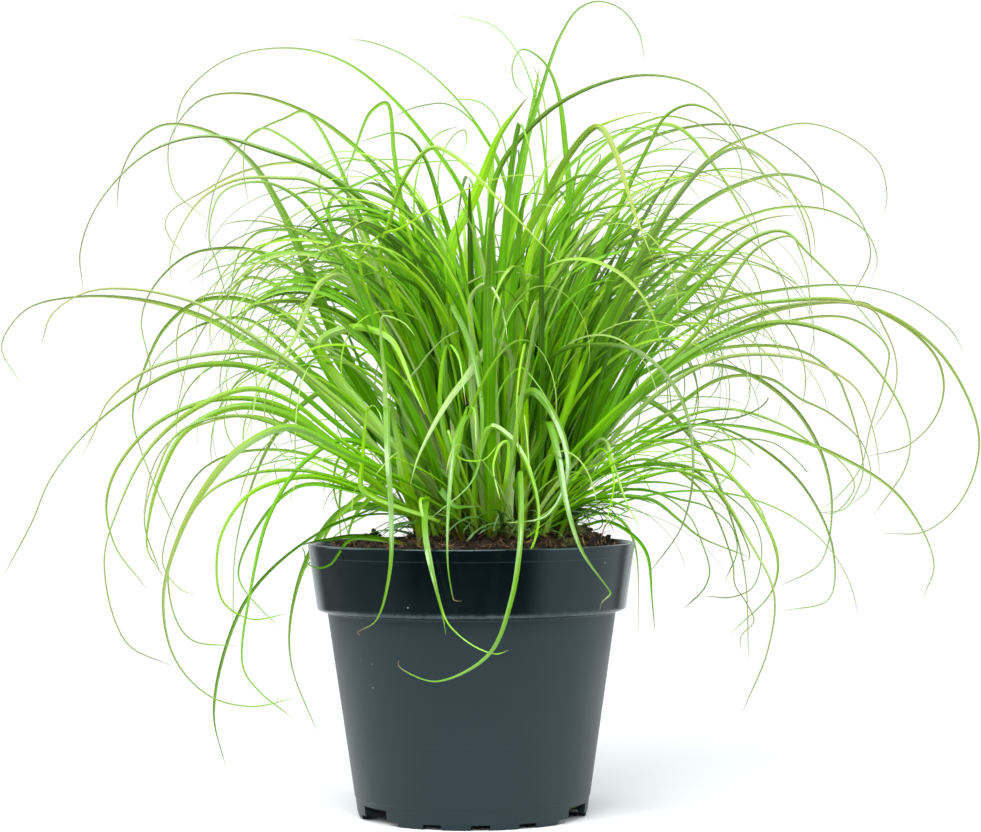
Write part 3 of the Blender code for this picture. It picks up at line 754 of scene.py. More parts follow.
def mound(name, height_at, middle_x, radius, rings, steps, wall_mm):
    """A closed mesh of rings on a surface, then a wall as (radius, height), and a flat underside."""
    turns = np.arange(steps) * math.tau / steps
    circle = np.column_stack((np.cos(turns), np.sin(turns)))
    middle = np.array((middle_x, 0.0))
    places = np.vstack((middle, *(middle + circle * (radius * ring / rings) for ring in range(1, rings + 1))))
    surface = np.column_stack((places, [height_at(x, y) for x, y in places]))
    wall = [np.column_stack((middle + circle * (out * MM), np.full(steps, up * MM))) for out, up in wall_mm]
    points = np.vstack((surface, *wall))
    step = np.arange(steps)
    onward = (step + 1) % steps
    fan = np.stack((np.zeros(steps, int), step + 1, onward + 1), axis=-1).reshape(-1)
    inner = (1 + steps * np.arange(rings + len(wall) - 1))[:, None]
    outer = inner + steps
    quads = np.stack((inner + step, outer + step, outer + onward, inner + onward), axis=-1).reshape(-1)
    base = (step + len(points) - steps)[::-1]
    sizes = np.concatenate((np.full(steps, 3), np.full(len(quads) // 4, 4), [steps]))
    return mesh_of(name, points, np.concatenate((fan, quads, base)), sizes)


SOIL_RINGS = 66
SOIL_STEPS = 260
SOIL_TOP_RADIUS = 54.4 * MM
SOIL_WALL_MM = ((54.2, 90.0), (52.6, 78.5), (50.6, 74.0), (41.2, 4.9))  # below the surface
SOIL_EDGE_HEIGHT = 95.6 * MM  # where the packed soil ends
SOIL_SINK = 0.4 * MM  # makes up for the clods, which only stand up
ROUGHNESS = 1.3 * MM
ROUGHNESS_SCALE = 260  # in noise cells a metre, as the other scales are
ROUGHNESS_KIND = (0.9, 2.1, 5)  # how fast detail fades, how much finer each layer is, and how many layers
CLOD_HEIGHT = 2.2 * MM
CLOD_SCALE = 150
CLOD_SHIFT = Vector((7, 3, 1))
MOSS_PLACE = Vector((37 * MM, -22 * MM, 0))
MOSS_HEIGHT = 4 * MM
MOSS_RADIUS = 8 * MM
MOSS_WHOLE = 0.4  # of its radius, within which it covers the soil
BARK_ROUGHNESS = 1.6 * MM
BARK_SCALE = 420
BARK_KIND = (0.8, 2.1, 4)
CROWN_EDGE_HEIGHT = 101 * MM


def soil_height(tree, x, y):
    base = top_of(tree, x, y)
    if base is None:
        base = SOIL_EDGE_HEIGHT
    place = Vector((x, y, 0))
    rough = noise.fractal(place * ROUGHNESS_SCALE, *ROUGHNESS_KIND) * ROUGHNESS
    clods = max(0.0, noise.noise(place * CLOD_SCALE + CLOD_SHIFT)) * CLOD_HEIGHT
    moss = MOSS_HEIGHT * (1 - share((place - MOSS_PLACE).length, 0.0, MOSS_RADIUS))
    return base + rough + clods + moss - SOIL_SINK


def crown_height(tree, x, y):
    """How high the rootstock between the leaves is, or None beside it."""
    if math.hypot(x - CROWN_MIDDLE.x, y) > CROWN_RADIUS:
        return None
    rough = noise.fractal(Vector((x, y, 0)) * BARK_SCALE, *BARK_KIND) * BARK_ROUGHNESS
    return min(top_of(tree, x, y) or CROWN_EDGE_HEIGHT, CROWN_TOP) + rough


def ground_height(trees, x, y):
    """The height of what is seen between the leaves: soil, or rootstock where that stands higher."""
    soil, crown = trees
    heights = (soil_height(soil, x, y), crown_height(crown, x, y))
    return max(height for height in heights if height is not None)


def moss_cover(mesh):
    """Paints the mossy lump on a mesh of the soil, for its material."""
    places = np.empty(len(mesh.vertices) * 3)
    mesh.vertices.foreach_get("co", places)
    far = np.linalg.norm(places.reshape(-1, 3)[:, :2] - np.array(MOSS_PLACE[:2]), axis=1)
    cover = 1 - share(far, MOSS_RADIUS * MOSS_WHOLE, MOSS_RADIUS)
    mesh.attributes.new("moss", "FLOAT", "POINT").data.foreach_set("value", cover.astype(np.float32))


def make_soil(material):
    tree = node_tree("soil")

    def height_at(x, y):
        return soil_height(tree, x, y)

    size = (SOIL_TOP_RADIUS, SOIL_RINGS, SOIL_STEPS)
    mesh = mound("soil_surface", height_at, 0.0, *size, SOIL_WALL_MM)
    moss_cover(mesh)
    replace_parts(piece_of("soil_surface", mesh, material), "soil")


def scattered(rng, inner, outer):
    """A place on the soil, evenly over the ring between two radii of the pot."""
    radius = math.sqrt(rng.uniform(inner**2, outer**2))
    angle = rng.uniform(0, math.tau)
    return radius * math.cos(angle), radius * math.sin(angle)


CRUMB_COUNT = 3400
CRUMB_REACH = 53 * MM  # from the pot's axis
CRUMB_SIZE = 1.3 * MM  # of the largest, to each side
CRUMB_LUMPS = 0.45
CRUMB_LUMP_SCALE = 1.3
CRUMB_LIFT = 0.35  # of its size


def make_crumbs(material, rng):
    """Loose crumbs of peat over soil and rootstock."""
    trees = node_tree("soil"), node_tree("crown")
    ball = bmesh.new()
    bmesh.ops.create_icosphere(ball, subdivisions=1, radius=1)
    ball_points = np.array([v.co for v in ball.verts])
    ball_faces = np.array([[v.index for v in f.verts] for f in ball.faces])
    ball.free()
    points, faces = [], []
    for k in range(CRUMB_COUNT):
        x, y = scattered(rng, 0.0, CRUMB_REACH)
        size = rng.uniform(0.3, 1.0) ** 2 * CRUMB_SIZE
        offset = Vector((k * 3.7, k * 1.3, 0))
        lumps = [noise.noise(Vector(p) * CRUMB_LUMP_SCALE + offset) for p in ball_points]
        lumpy = 1 + CRUMB_LUMPS * np.array(lumps)
        stretch = np.array([rng.uniform(0.7, 1.4), rng.uniform(0.7, 1.4), rng.uniform(0.55, 0.95)])
        place = np.array((x, y, ground_height(trees, x, y) + size * CRUMB_LIFT))
        points.append(ball_points * lumpy[:, None] * stretch * size + place)
        faces.append(ball_faces + k * len(ball_points))
    corners = np.concatenate(faces).reshape(-1)
    mesh = mesh_of("soil_crumbs", np.concatenate(points), corners, np.full(len(corners) // 3, 3))
    moss_cover(mesh)
    piece_of("soil_crumbs", mesh, material)


FIBRE_COUNT = 2000
FIBRE_PLACES = 5
FIBRE_RING = (10 * MM, 52 * MM)  # the radii between which fibres start
FIBRE_REACH = 53.5 * MM
FIBRE_LENGTHS_MM = (2, 9)
FIBRE_LIFTS_MM = (0.3, 0.4, 0.6, 2.0)  # one that is lifted more than 1 rises further along its length
FIBRE_WIDTHS_MM = (0.06, 0.18)
FIBRE_SPACING = 1.2 * MM
THREAD_WIDTHS = ((0.0, 0.5), (0.2, 1.0), (0.8, 0.8), (1.0, 0.25))
DRY_STEM = ((600, 543), (601, 537), (603, 531), (605, 526), (611, 521))  # columns and rows in the photograph
DRY_STEM_DEPTH = -14 * MM
DRY_STEM_WIDTH = 0.9 * MM


def fibre_places(trees, rng):
    x, y = scattered(rng, *FIBRE_RING)
    angle = rng.uniform(0, math.tau)
    length = rng.uniform(*FIBRE_LENGTHS_MM) * MM
    lift = rng.choice(FIBRE_LIFTS_MM) * MM
    places = []
    for k in range(FIBRE_PLACES):
        angle += rng.uniform(-0.5, 0.5)
        reach = math.hypot(x, y)
        if reach > FIBRE_REACH:
            x, y = x * FIBRE_REACH / reach, y * FIBRE_REACH / reach
        places.append((x, y, ground_height(trees, x, y) + lift * (0.4 + 0.3 * k * (lift > MM))))
        x += math.cos(angle) * length / (FIBRE_PLACES - 1)
        y += math.sin(angle) * length / (FIBRE_PLACES - 1)
    return places


def add_blade(
    sheaf, route, width, tone, turns, section=BROAD, brown=0.0, widths=WIDTHS, least=LEAST_HALF_WIDTH
):
    """A blade whose greatest width is given, with the factors of that along it."""
    half_widths = at_keys(shares_along(route), widths) * width / 2
    sheaf.add(route, half_widths, turns, tone, section, brown, least)


def make_fibres(material, rng):
    """Threads of coir and dead root that lie over the soil, some with an end in the air."""
    trees = node_tree("soil"), node_tree("crown")
    sheaf = Sheaf("soil_fibres")
    for _ in range(FIBRE_COUNT):
        route = smooth_route(fibre_places(trees, rng), FIBRE_SPACING)
        width = rng.uniform(*FIBRE_WIDTHS_MM) * MM
        tone = rng.random() ** 2
        add_blade(sheaf, route, width, tone, ((0, 0), (1, 90)), FINE, widths=THREAD_WIDTHS, least=0.0)
    stem = smooth_route([from_photo(column, row, DRY_STEM_DEPTH) for column, row in DRY_STEM])
    add_blade(sheaf, stem, DRY_STEM_WIDTH, 0.5, ((0, 0), (1, 60)), FINE, widths=THREAD_WIDTHS)
    sheaf.make(material, "soil")


# ---- Packed leaves -----------------------------------------------------------------------------------


RING_EDGE = 3.2 * MM  # a packed leaf's edges shorter than this lie within one of its rings
WELD_DISTANCE = 2e-6


def rings_in(bm):
    """A packed leaf's points gathered into the rings around it, and the number of each point's ring."""
    ring_of, rings = {}, []
    for start in bm.verts:
        if start.index in ring_of:
            continue
        members, queue = [], [start]
        ring_of[start.index] = len(rings)
        while queue:
            vert = queue.pop()
            members.append(vert)
            for edge in vert.link_edges:
                other = edge.other_vert(vert)
                if other.index not in ring_of and edge.calc_length() < RING_EDGE:
                    ring_of[other.index] = len(rings)
                    queue.append(other)
        rings.append(members)
    return rings, ring_of


def in_order(bm, ring_of, middles):
    """The rings' numbers from the leaf's foot, by the edges that join them."""
    near = {i: set() for i in range(len(middles))}
    for edge in bm.edges:
        a, b = (ring_of[v.index] for v in edge.verts)
        if a != b:
            near[a].add(b)
            near[b].add(a)
    ends = [i for i in near if len(near[i]) == 1]
    order = [min(ends, key=lambda i: (middles[i] - CROWN_MIDDLE).length)]
    while len(order) < len(middles):
        following = [i for i in near[order[-1]] if i not in order]
        if not following:
            break
        order.append(following[0])
    return order


def frame_rings(name):
    """The middles and half widths of a packed leaf's rings, from its foot."""
    bm = bmesh.new()
    bm.from_mesh(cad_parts[name].data)
    bmesh.ops.remove_doubles(bm, verts=bm.verts, dist=WELD_DISTANCE)
    bm.verts.ensure_lookup_table()
    rings, ring_of = rings_in(bm)
    middles = [sum((v.co for v in ring), Vector()) / len(ring) for ring in rings]
    halves = [max((a.co - b.co).length for a in ring for b in ring) / 2 for ring in rings]
    order = in_order(bm, ring_of, middles)
    bm.free()
    return np.array([tuple(middles[i]) for i in order]), np.array([halves[i] for i in order])


# A packed leaf's real width as a factor of its solid's, which is stouter, as (share of its length, factor).
USUAL = ((0.0, 0.6), (0.15, 0.85), (0.35, 1.1), (0.55, 1.0), (0.72, 0.72), (0.88, 0.5), (1.0, 0.1))
HANGING = ((0.0, 0.6), (0.15, 0.8), (0.4, 1.05), (0.75, 1.15), (0.92, 0.75), (0.98, 0.4), (1.0, 0.08))
THIN_FOOT = ((0.0, 0.3), (0.14, 0.3), (0.3, 0.42), (0.48, 0.7), (0.7, 0.9), (0.88, 0.6), (1.0, 0.1))
LATE_WIDE = (
    (0.0, 0.2), (0.25, 0.25), (0.34, 0.45), (0.5, 0.85), (0.7, 1.0), (0.88, 0.8), (0.96, 0.4), (1.0, 0.08),
)
STOUT_MIDDLE = ((0.0, 0.6), (0.2, 0.9), (0.5, 1.15), (0.75, 1.45), (0.85, 0.8), (0.92, 0.5), (1.0, 0.1))
STOUT_END = ((0.0, 0.6), (0.2, 0.9), (0.5, 1.15), (0.8, 1.4), (0.93, 1.1), (1.0, 0.15))
LONG_TIP = ((0.0, 0.3), (0.14, 0.4), (0.3, 0.85), (0.5, 1.15), (0.64, 0.75), (0.77, 0.42), (1.0, 0.1))
LATE_THICK = ((0.0, 0.2), (0.2, 0.3), (0.45, 0.45), (0.7, 0.9), (0.85, 1.1), (0.95, 0.6), (1.0, 0.1))
EARLY_THICK = ((0.0, 0.4), (0.15, 0.9), (0.4, 1.4), (0.6, 1.1), (0.8, 0.6), (1.0, 0.1))
BLUNT = ((0.0, 0.6), (0.2, 0.9), (0.5, 1.3), (0.8, 2.1), (0.95, 1.7), (1.0, 0.3))
LATE_FULL = ((0.0, 0.2), (0.2, 0.24), (0.4, 0.36), (0.6, 0.75), (0.8, 0.85), (0.92, 0.5), (1.0, 0.1))
FOLDED_TOP = ((0.0, 0.6), (0.3, 1.1), (0.5, 1.15), (0.66, 0.75), (0.8, 0.8), (0.93, 0.7), (1.0, 0.15))

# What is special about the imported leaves, by their side and number.
THINNING = {
    "front": {**dict.fromkeys((1, 3, 4, 5, 6, 7, 8), HANGING), 2: LATE_WIDE},
    "left": {7: FOLDED_TOP, **dict.fromkeys((11, 13, 14), LONG_TIP), 15: LATE_THICK, 16: EARLY_THICK},
    "right": {**dict.fromkeys((8, 11, 15), THIN_FOOT), **dict.fromkeys((10, 12, 13, 14), LATE_FULL)},
    "top": {3: EARLY_THICK, 4: STOUT_MIDDLE, 6: BLUNT, 7: STOUT_END, 8: STOUT_END, 9: BLUNT},
}
WIDTH_FACTORS = {
    "front": {4: 0.66, 7: 0.75},
    "left": {1: 1.2, 4: 1.2, 5: 1.2, 13: 0.85, 14: 0.85},
    "right": {2: 1.2, 5: 1.2, 7: 0.75, 12: 0.8, 13: 0.8, 14: 0.6},
    "top": {5: 1.2, 7: 0.68, 8: 0.8},
}
# How light the leaves are, where not middling: 0 is deep green, 1 pale.
MIDDLING = 0.4
LEAF_TONES = {
    "front": {1: 0.36, 2: 0.36, 3: 0.36, 4: 0.34, 5: 0.32, 6: 0.34, 7: 0.2, 8: 0.4},
    "left": {1: 0.2, 2: 0.3, 3: 0.25, 4: 0.15, 5: 0.3, 7: 0.5, 11: 0.3, 13: 0.5, 14: 0.4, 15: 0.15, 16: 0.25},
    "right": {1: 0.3, 2: 0.2, 3: 0.2, 4: 0.35, 5: 0.2, 13: 0.5},
    "top": {1: 0.3, 3: 0.3, 4: 0.35, 5: 0.2, 6: 0.6, 7: 0.7, 8: 0.65, 9: 0.5},
}
# Where the hanging leaves' dry tips turn after the solids' ends, as (column, row) in the photograph.
TIP_CURLS = {
    "front": {
        1: ((356, 633), (359, 634)),
        3: ((453, 600), (457, 601), (461, 601)),
        4: ((397, 664), (398, 660)),
        5: ((610, 594), (606, 598), (601, 603), (599, 610)),
    },
}
TIP_CURL_HALF_WIDTH = 0.5 * MM
CURLED_BROWN = 0.06
ROOT_SHIFT = 0.12  # of the way from a solid's foot to the crown's middle


def of_leaf(table, name, usual):
    """What a table says about a packed leaf."""
    _, side, number = name.split("_")
    return table.get(side, {}).get(int(number), usual)


def leaf_line(name, middles, halves):
    """A leaf's middle line and half widths, from its root to its curl, and whether it has a curl."""
    root = middles[0] + (np.array(CROWN_MIDDLE) - middles[0]) * ROOT_SHIFT
    root[2] = ROOT_HEIGHT
    curl = [from_photo(*place, middles[-1][1]) for place in of_leaf(TIP_CURLS, name, ())]
    halves = np.concatenate((halves[:1], halves, [TIP_CURL_HALF_WIDTH] * len(curl)))
    return np.vstack((root, middles, *curl)), halves, bool(curl)


def leaf_pieces(rng, material, front_material):
    """A finely made leaf in place of each packed one, along the same middle line; returns their routes."""
    routes = []
    for name in sorted(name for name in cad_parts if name.startswith("leaf_")):
        middles, halves, curled = leaf_line(name, *frame_rings(name))
        dense = smooth_route(middles)
        turns = natural_turns(dense, rng) if name.startswith("leaf_back") else facing_turns(dense, rng)
        route = stations(dense)
        along = shares_along(route)
        half_widths = np.interp(along, shares_along(middles), halves) * of_leaf(WIDTH_FACTORS, name, 1.0)
        half_widths = half_widths * at_keys(along, of_leaf(THINNING, name, USUAL))
        brown = CURLED_BROWN if curled else rng.choice(BROWN_TIPS)
        sheaf = Sheaf(name + "_blade")
        sheaf.add(route, half_widths, turns, of_leaf(LEAF_TONES, name, MIDDLING), brown=brown)
        leaf = sheaf.make(front_material if name.startswith("leaf_front") else material, "leaf")
        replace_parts(leaf, name)
        routes.append(route)
    return routes


# ---- Traced leaves -----------------------------------------------------------------------------------


# Leaves traced over the photograph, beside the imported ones. Each row: the greatest width in mm; the tone; how
# far the leaf goes back for each millimetre that it goes right, or its (first, last) depth in mm behind the
# pot's axis; and its places from its lower part out to its tip as (column, row).
LEFT_TRACED = (
    (2.3, 0.5, -0.5, ((308, 112), (285, 118), (262, 128), (248, 139), (245, 155), (245, 175),
     (249, 200))),
    (2.1, 0.95, -0.3, ((390, 260), (345, 185), (310, 163), (290, 162), (270, 164), (235, 174), (205, 190),
     (172, 210), (166, 222), (170, 235), (186, 255))),
    (2.4, 0.95, 0.4, ((350, 210), (310, 180), (285, 177), (240, 178), (205, 195), (185, 220), (171, 255),
     (172, 281))),
    (2.8, 0.4, -0.6, ((370, 300), (310, 232), (290, 229), (258, 232), (240, 252), (229, 300))),
    (2.1, 0.9, 0.6, ((320, 385), (250, 333), (215, 311), (190, 299), (130, 287), (85, 291), (52, 313),
     (42, 342))),
    (2.0, 0.7, -0.7, ((320, 340), (250, 295), (200, 297), (180, 322), (178, 360), (188, 389))),
    (2.5, 0.9, 0.5, ((340, 410), (290, 365), (250, 352), (190, 356), (145, 370), (108, 400), (92, 435),
     (82, 454))),
    (2.4, 0.5, -0.4, ((320, 380), (250, 319), (205, 322), (165, 348), (145, 376))),
    (2.3, 0.6, 0.2, ((330, 440), (290, 410), (250, 398), (200, 402), (150, 427), (115, 470), (106, 505),
     (115, 545), (146, 587))),
    (1.7, 0.6, -0.9, ((320, 440), (250, 415), (185, 430), (165, 445), (152, 468), (143, 512))),
    (1.6, 0.5, 0.9, ((320, 445), (240, 415), (178, 432), (155, 475), (144, 520), (160, 572))),
    (3.3, 0.55, 0.1, ((360, 470), (300, 420), (240, 405), (185, 430), (160, 475), (148, 520), (147, 548),
     (163, 575))),
    (3.0, 0.98, (-20, -62), ((380, 330), (345, 276), (323, 280), (310, 302), (293, 341), (260, 382),
     (252, 414), (241, 445))),
    (2.0, 0.4, 0.7, ((350, 440), (306, 460), (270, 513), (250, 590), (242, 665), (258, 690), (292, 717))),
    (2.0, 0.6, 0.5, ((355, 488), (323, 477), (292, 477), (250, 492), (225, 523), (216, 555), (222, 600),
     (250, 618), (285, 613))),
    (1.9, 0.4, -0.6, ((350, 490), (298, 486), (258, 524), (238, 575), (262, 610), (277, 624))),
    (1.3, 0.5, 1.0, ((300, 470), (210, 490), (169, 560), (173, 612), (190, 638), (235, 645))),
    (1.3, 0.5, -0.8, ((290, 450), (200, 470), (162, 560), (180, 588), (195, 593))),
    (2.1, 0.15, (-26, -12), ((405, 545), (388, 540), (370, 536), (350, 535), (330, 538), (312, 541),
     (296, 546))),
    (1.3, 0.1, (-40, -36), ((390, 543), (366, 538), (354, 538), (346, 542), (339, 552), (331, 563),
     (322, 567), (312, 566), (305, 560), (304, 552), (301, 545))),
    (3.4, 0.7, (40, 86), ((400, 450), (375, 484), (352, 502), (334, 520), (322, 542), (316, 566))),
    (2.6, 0.75, (44, 80), ((385, 420), (358, 450), (343, 480), (339, 510), (341, 545))),
    (2.8, 0.6, (40, 84), ((405, 470), (372, 496), (357, 512), (349, 530), (345, 560))),
    (1.9, 0.5, (40, 76), ((390, 440), (345, 450), (334, 475), (336, 500), (344, 520), (352, 548))),
    (1.4, 0.15, (-10, -24), ((400, 505), (386, 503), (360, 513), (330, 524), (315, 534))),
    (1.1, 0.1, (-12, -20), ((400, 510), (380, 497), (345, 488), (315, 479))),
)
TOP_TRACED = (
    (3.1, 0.5, (-10, -60), ((450, 237), (443, 212), (434, 179), (425, 156), (412, 138), (396, 132),
     (378, 136), (362, 141))),
    (3.4, 0.7, -0.5, ((530, 260), (560, 185), (565, 165), (575, 150), (585, 138), (597, 128), (620, 119),
     (640, 114), (652, 113), (660, 116))),
    (1.7, 0.5, -0.4, ((500, 160), (490, 145), (475, 122), (460, 109), (445, 103), (430, 104), (410, 109),
     (395, 117))),
    (0.9, 0.5, 0.3, ((507, 150), (503, 135), (497, 117), (485, 104), (470, 99), (455, 100), (445, 103))),
    (1.6, 0.6, 0.8, ((415, 200), (425, 152), (430, 143), (440, 133), (460, 126))),
    (0.8, 0.6, 0.5, ((440, 170), (455, 135), (466, 130), (468, 140), (464, 152))),
    (2.4, 0.4, (20, 40), ((330, 205), (362, 182), (380, 174), (400, 168), (415, 164), (440, 161),
     (460, 161), (482, 167))),
    (1.2, 0.5, (10, 50), ((320, 180), (350, 160), (365, 160), (385, 159), (415, 160), (422, 163))),
    (1.7, 0.75, (-30, -70), ((360, 260), (380, 235), (400, 228), (430, 210), (450, 200), (470, 188),
     (500, 178), (525, 175), (545, 178))),
    (1.6, 0.5, 0.6, ((575, 180), (600, 150), (620, 135), (640, 125), (668, 117), (690, 121), (705, 128),
     (725, 140), (738, 152), (743, 175), (740, 200))),
    (1.3, 0.3, -0.3, ((585, 150), (600, 140), (615, 132), (635, 128), (650, 130), (665, 137),
     (678, 148))),
    (1.3, 0.5, 0.9, ((570, 240), (595, 180), (620, 170), (640, 178), (655, 188))),
    (1.5, 0.5, -0.8, ((565, 230), (590, 190), (605, 181), (630, 179), (660, 195))),
    (1.3, 0.6, 0.2, ((560, 240), (585, 200), (600, 193), (625, 190), (645, 195))),
    (1.5, 0.5, -0.9, ((550, 250), (570, 220), (590, 212), (620, 206), (650, 205), (700, 205))),
    (1.3, 0.5, 0.7, ((555, 270), (570, 235), (585, 225), (600, 220), (610, 227), (615, 245))),
    (1.3, 0.6, -0.2, ((545, 200), (547, 160), (548, 120), (543, 90), (535, 65))),
)
FRONT_TRACED = (
    (1.3, 0.6, (-58, -76), ((420, 500), (425, 528), (432, 570), (440, 605), (447, 623), (464, 640),
     (481, 650), (496, 654), (508, 650))),
    (2.5, 0.6, (-34, -54), ((480, 450), (491, 427), (509, 437), (522, 455), (533, 484), (538, 514),
     (534, 541), (523, 561), (505, 573), (502, 580))),
    (4.1, 0.99, (-20, -64), ((510, 360), (498, 343), (485, 352), (470, 372), (450, 398), (430, 432),
     (417, 460), (410, 485))),
    (2.3, 0.97, (-14, -40), ((450, 330), (460, 292), (482, 277), (495, 273), (510, 272), (530, 275),
     (545, 280))),
    (3.2, 0.97, (-30, -50), ((475, 440), (472, 370), (473, 340), (471, 300), (478, 288), (487, 284),
     (497, 295), (505, 320), (508, 340))),
    (2.5, 0.9, (-34, -56), ((390, 430), (384, 370), (381, 340), (382, 317), (390, 316), (405, 323),
     (415, 335))),
    (2.1, 0.6, (-40, -60), ((440, 400), (448, 345), (455, 350), (460, 360), (463, 380), (466, 405))),
    (1.6, 0.95, (-20, -50), ((400, 400), (420, 365), (432, 350), (445, 338), (460, 330))),
    (4.1, 0.8, (-12, -62), ((320, 345), (350, 327), (375, 330), (392, 340), (403, 360), (412, 385),
     (425, 415))),
    (2.6, 0.75, (-44, -58), ((363, 490), (363, 460), (365, 430), (367, 411), (373, 405), (379, 412),
     (383, 424))),
    (5.0, 0.75, (-20, -50), ((420, 528), (413, 502), (404, 475), (397, 440), (392, 415), (388, 400))),
    (2.0, 0.6, (-42, -60), ((455, 470), (460, 440), (468, 407), (474, 410), (476, 430), (476, 450))),
    (1.9, 0.7, (-46, -60), ((506, 480), (508, 442), (500, 445), (494, 460), (493, 470), (497, 490),
     (500, 500))),
    (1.2, 0.8, (-56, -66), ((448, 430), (457, 455), (465, 460), (475, 461), (485, 459), (500, 442))),
    (1.2, 0.5, (-40, -58), ((500, 390), (520, 368), (530, 375), (540, 388), (548, 400))),
    (1.3, 0.8, (-50, -62), ((566, 440), (565, 480), (562, 495), (550, 510), (535, 520), (520, 523),
     (505, 522))),
    (3.0, 0.2, (-40, -60), ((440, 490), (455, 506), (468, 506), (480, 506))),
)
RIGHT_TRACED = (
    (2.0, 0.15, (-24, -60), ((570, 485), (620, 471), (660, 465), (692, 470), (707, 482), (730, 512),
     (744, 540), (749, 556), (746, 562), (738, 559))),
    (2.3, 0.4, 0.4, ((580, 340), (640, 300), (699, 247), (720, 230), (745, 219), (770, 211), (800, 208),
     (835, 214), (868, 235), (878, 262), (873, 280))),
    (3.2, 0.5, -0.4, ((530, 270), (560, 215), (600, 165), (620, 148), (635, 135), (650, 127), (665, 124),
     (680, 128), (695, 140), (707, 155), (730, 188), (745, 215), (757, 235), (764, 260))),
    (2.1, 0.5, -0.8, ((700, 330), (757, 250), (793, 238), (800, 250), (808, 275), (810, 300),
     (810, 317))),
    (2.2, 0.45, 0.2, ((620, 390), (690, 350), (780, 310), (860, 304), (877, 311), (915, 335), (938, 362),
     (944, 390), (935, 420), (908, 447), (867, 458))),
    (1.7, 0.15, (-20, -70), ((545, 520), (573, 507), (600, 498), (650, 500), (680, 522), (700, 538),
     (748, 558))),
    (1.2, 0.2, 0.4, ((590, 500), (614, 491), (646, 491), (678, 500), (705, 507), (729, 525), (736, 542),
     (736, 555), (724, 582))),
    (0.9, 0.2, 0.7, ((650, 470), (700, 480), (748, 515), (759, 536), (761, 558), (753, 587), (732, 598),
     (705, 597))),
    (0.7, 0.15, -0.6, ((630, 490), (660, 495), (689, 517), (700, 540), (709, 572), (703, 590),
     (683, 609))),
    (1.2, 0.5, 0.9, ((640, 460), (700, 490), (732, 563), (734, 585), (745, 603), (753, 622), (740, 638),
     (740, 652))),
    (1.7, 0.5, 0.5, ((640, 400), (700, 355), (800, 352), (838, 380), (845, 395), (855, 425), (863, 470),
     (858, 490), (845, 510), (820, 514))),
    (1.8, 0.95, -0.5, ((640, 410), (720, 360), (800, 360), (845, 380), (860, 395), (870, 420), (877, 450),
     (880, 480))),
    (1.3, 0.5, 0.1, ((660, 380), (760, 330), (850, 320), (888, 350), (885, 380), (870, 430), (860, 470),
     (835, 500), (820, 512))),
    (1.3, 0.5, -0.3, ((640, 440), (720, 410), (780, 425), (820, 450), (835, 458), (850, 475), (854, 490),
     (835, 514), (820, 514))),
    (1.7, 0.5, 0.8, ((660, 420), (720, 380), (770, 380), (800, 400), (830, 415), (862, 445), (870, 470),
     (868, 490), (850, 507))),
    (1.5, 0.95, 0.0, ((700, 340), (800, 305), (872, 311), (885, 330), (895, 355), (897, 380), (890, 405),
     (870, 435))),
    (1.5, 0.15, (-10, -50), ((640, 450), (700, 425), (740, 418), (760, 409), (768, 400), (765, 397))),
    (1.3, 0.5, -0.7, ((640, 480), (690, 470), (730, 480), (757, 505), (768, 530), (775, 555))),
    (1.3, 0.4, 0.6, ((680, 450), (745, 440), (775, 445), (800, 465), (807, 473), (812, 467))),
    (0.9, 0.5, (-10, -60), ((700, 420), (730, 440), (735, 460), (725, 480), (700, 497))),
    (1.3, 0.6, (-30, -66), ((600, 450), (612, 470), (613, 490), (609, 510), (605, 530))),
    (1.7, 0.95, (-20, -66), ((600, 440), (615, 470), (625, 500), (640, 530))),
    (1.2, 0.5, (-20, -58), ((575, 505), (600, 500), (628, 509), (620, 515), (605, 525))),
    (0.8, 0.1, (-14, -24), ((590, 512), (608, 509), (616, 518), (612, 522), (607, 528))),
    (0.8, 0.1, (4, -10), ((580, 510), (596, 512), (602, 520), (600, 528), (588, 532))),
    (0.8, 0.15, (-8, -20), ((574, 505), (583, 513), (589, 523), (588, 530))),
    (1.0, 0.2, (-16, -30), ((570, 508), (590, 498), (612, 497), (640, 500), (655, 505))),
)
TRACED = {"left": LEFT_TRACED, "top": TOP_TRACED, "front": FRONT_TRACED, "right": RIGHT_TRACED}
CROWN_ROW = 520  # a leaf whose first place is below this row of the photograph comes up right there
FINE_UNDER_MM = 1.3  # leaves narrower than this have the plainer section
# Where a leaf's second place is, as a share of the way from its foot to the first place in its row.
KNEE = np.array((0.13, 0.13, 0.32))
SIDE_REACH = 70 * MM  # a leaf that is first seen this far to the side has its foot on that side
DEPTH_SHARE = 0.75  # how much the foot of one with depths of its own goes forward or back
FOOT_BLUR = 0.2
FOOT_RADII = (0.45, 0.88)  # as shares of the crown's radius


def depth_in_plane(column, foot, lean):
    """The depth at which a leaf that leans in one upright plane through its foot is seen at this column."""
    slant = (column - PHOTO_WIDTH / 2) / PHOTO_FOCAL
    x = (slant * (CAMERA_DISTANCE + foot[1] - lean * foot[0]) + CAMERA_X) / (1 - slant * lean)
    return foot[1] + lean * (x - foot[0])


def crown_place(radius, angle):
    """A place in the crown at this angle from the front toward +X, at the height of the leaves' feet."""
    x = CROWN_MIDDLE.x + radius * math.sin(angle)
    return np.array((x, CROWN_MIDDLE.y - radius * math.cos(angle), ROOT_HEIGHT))


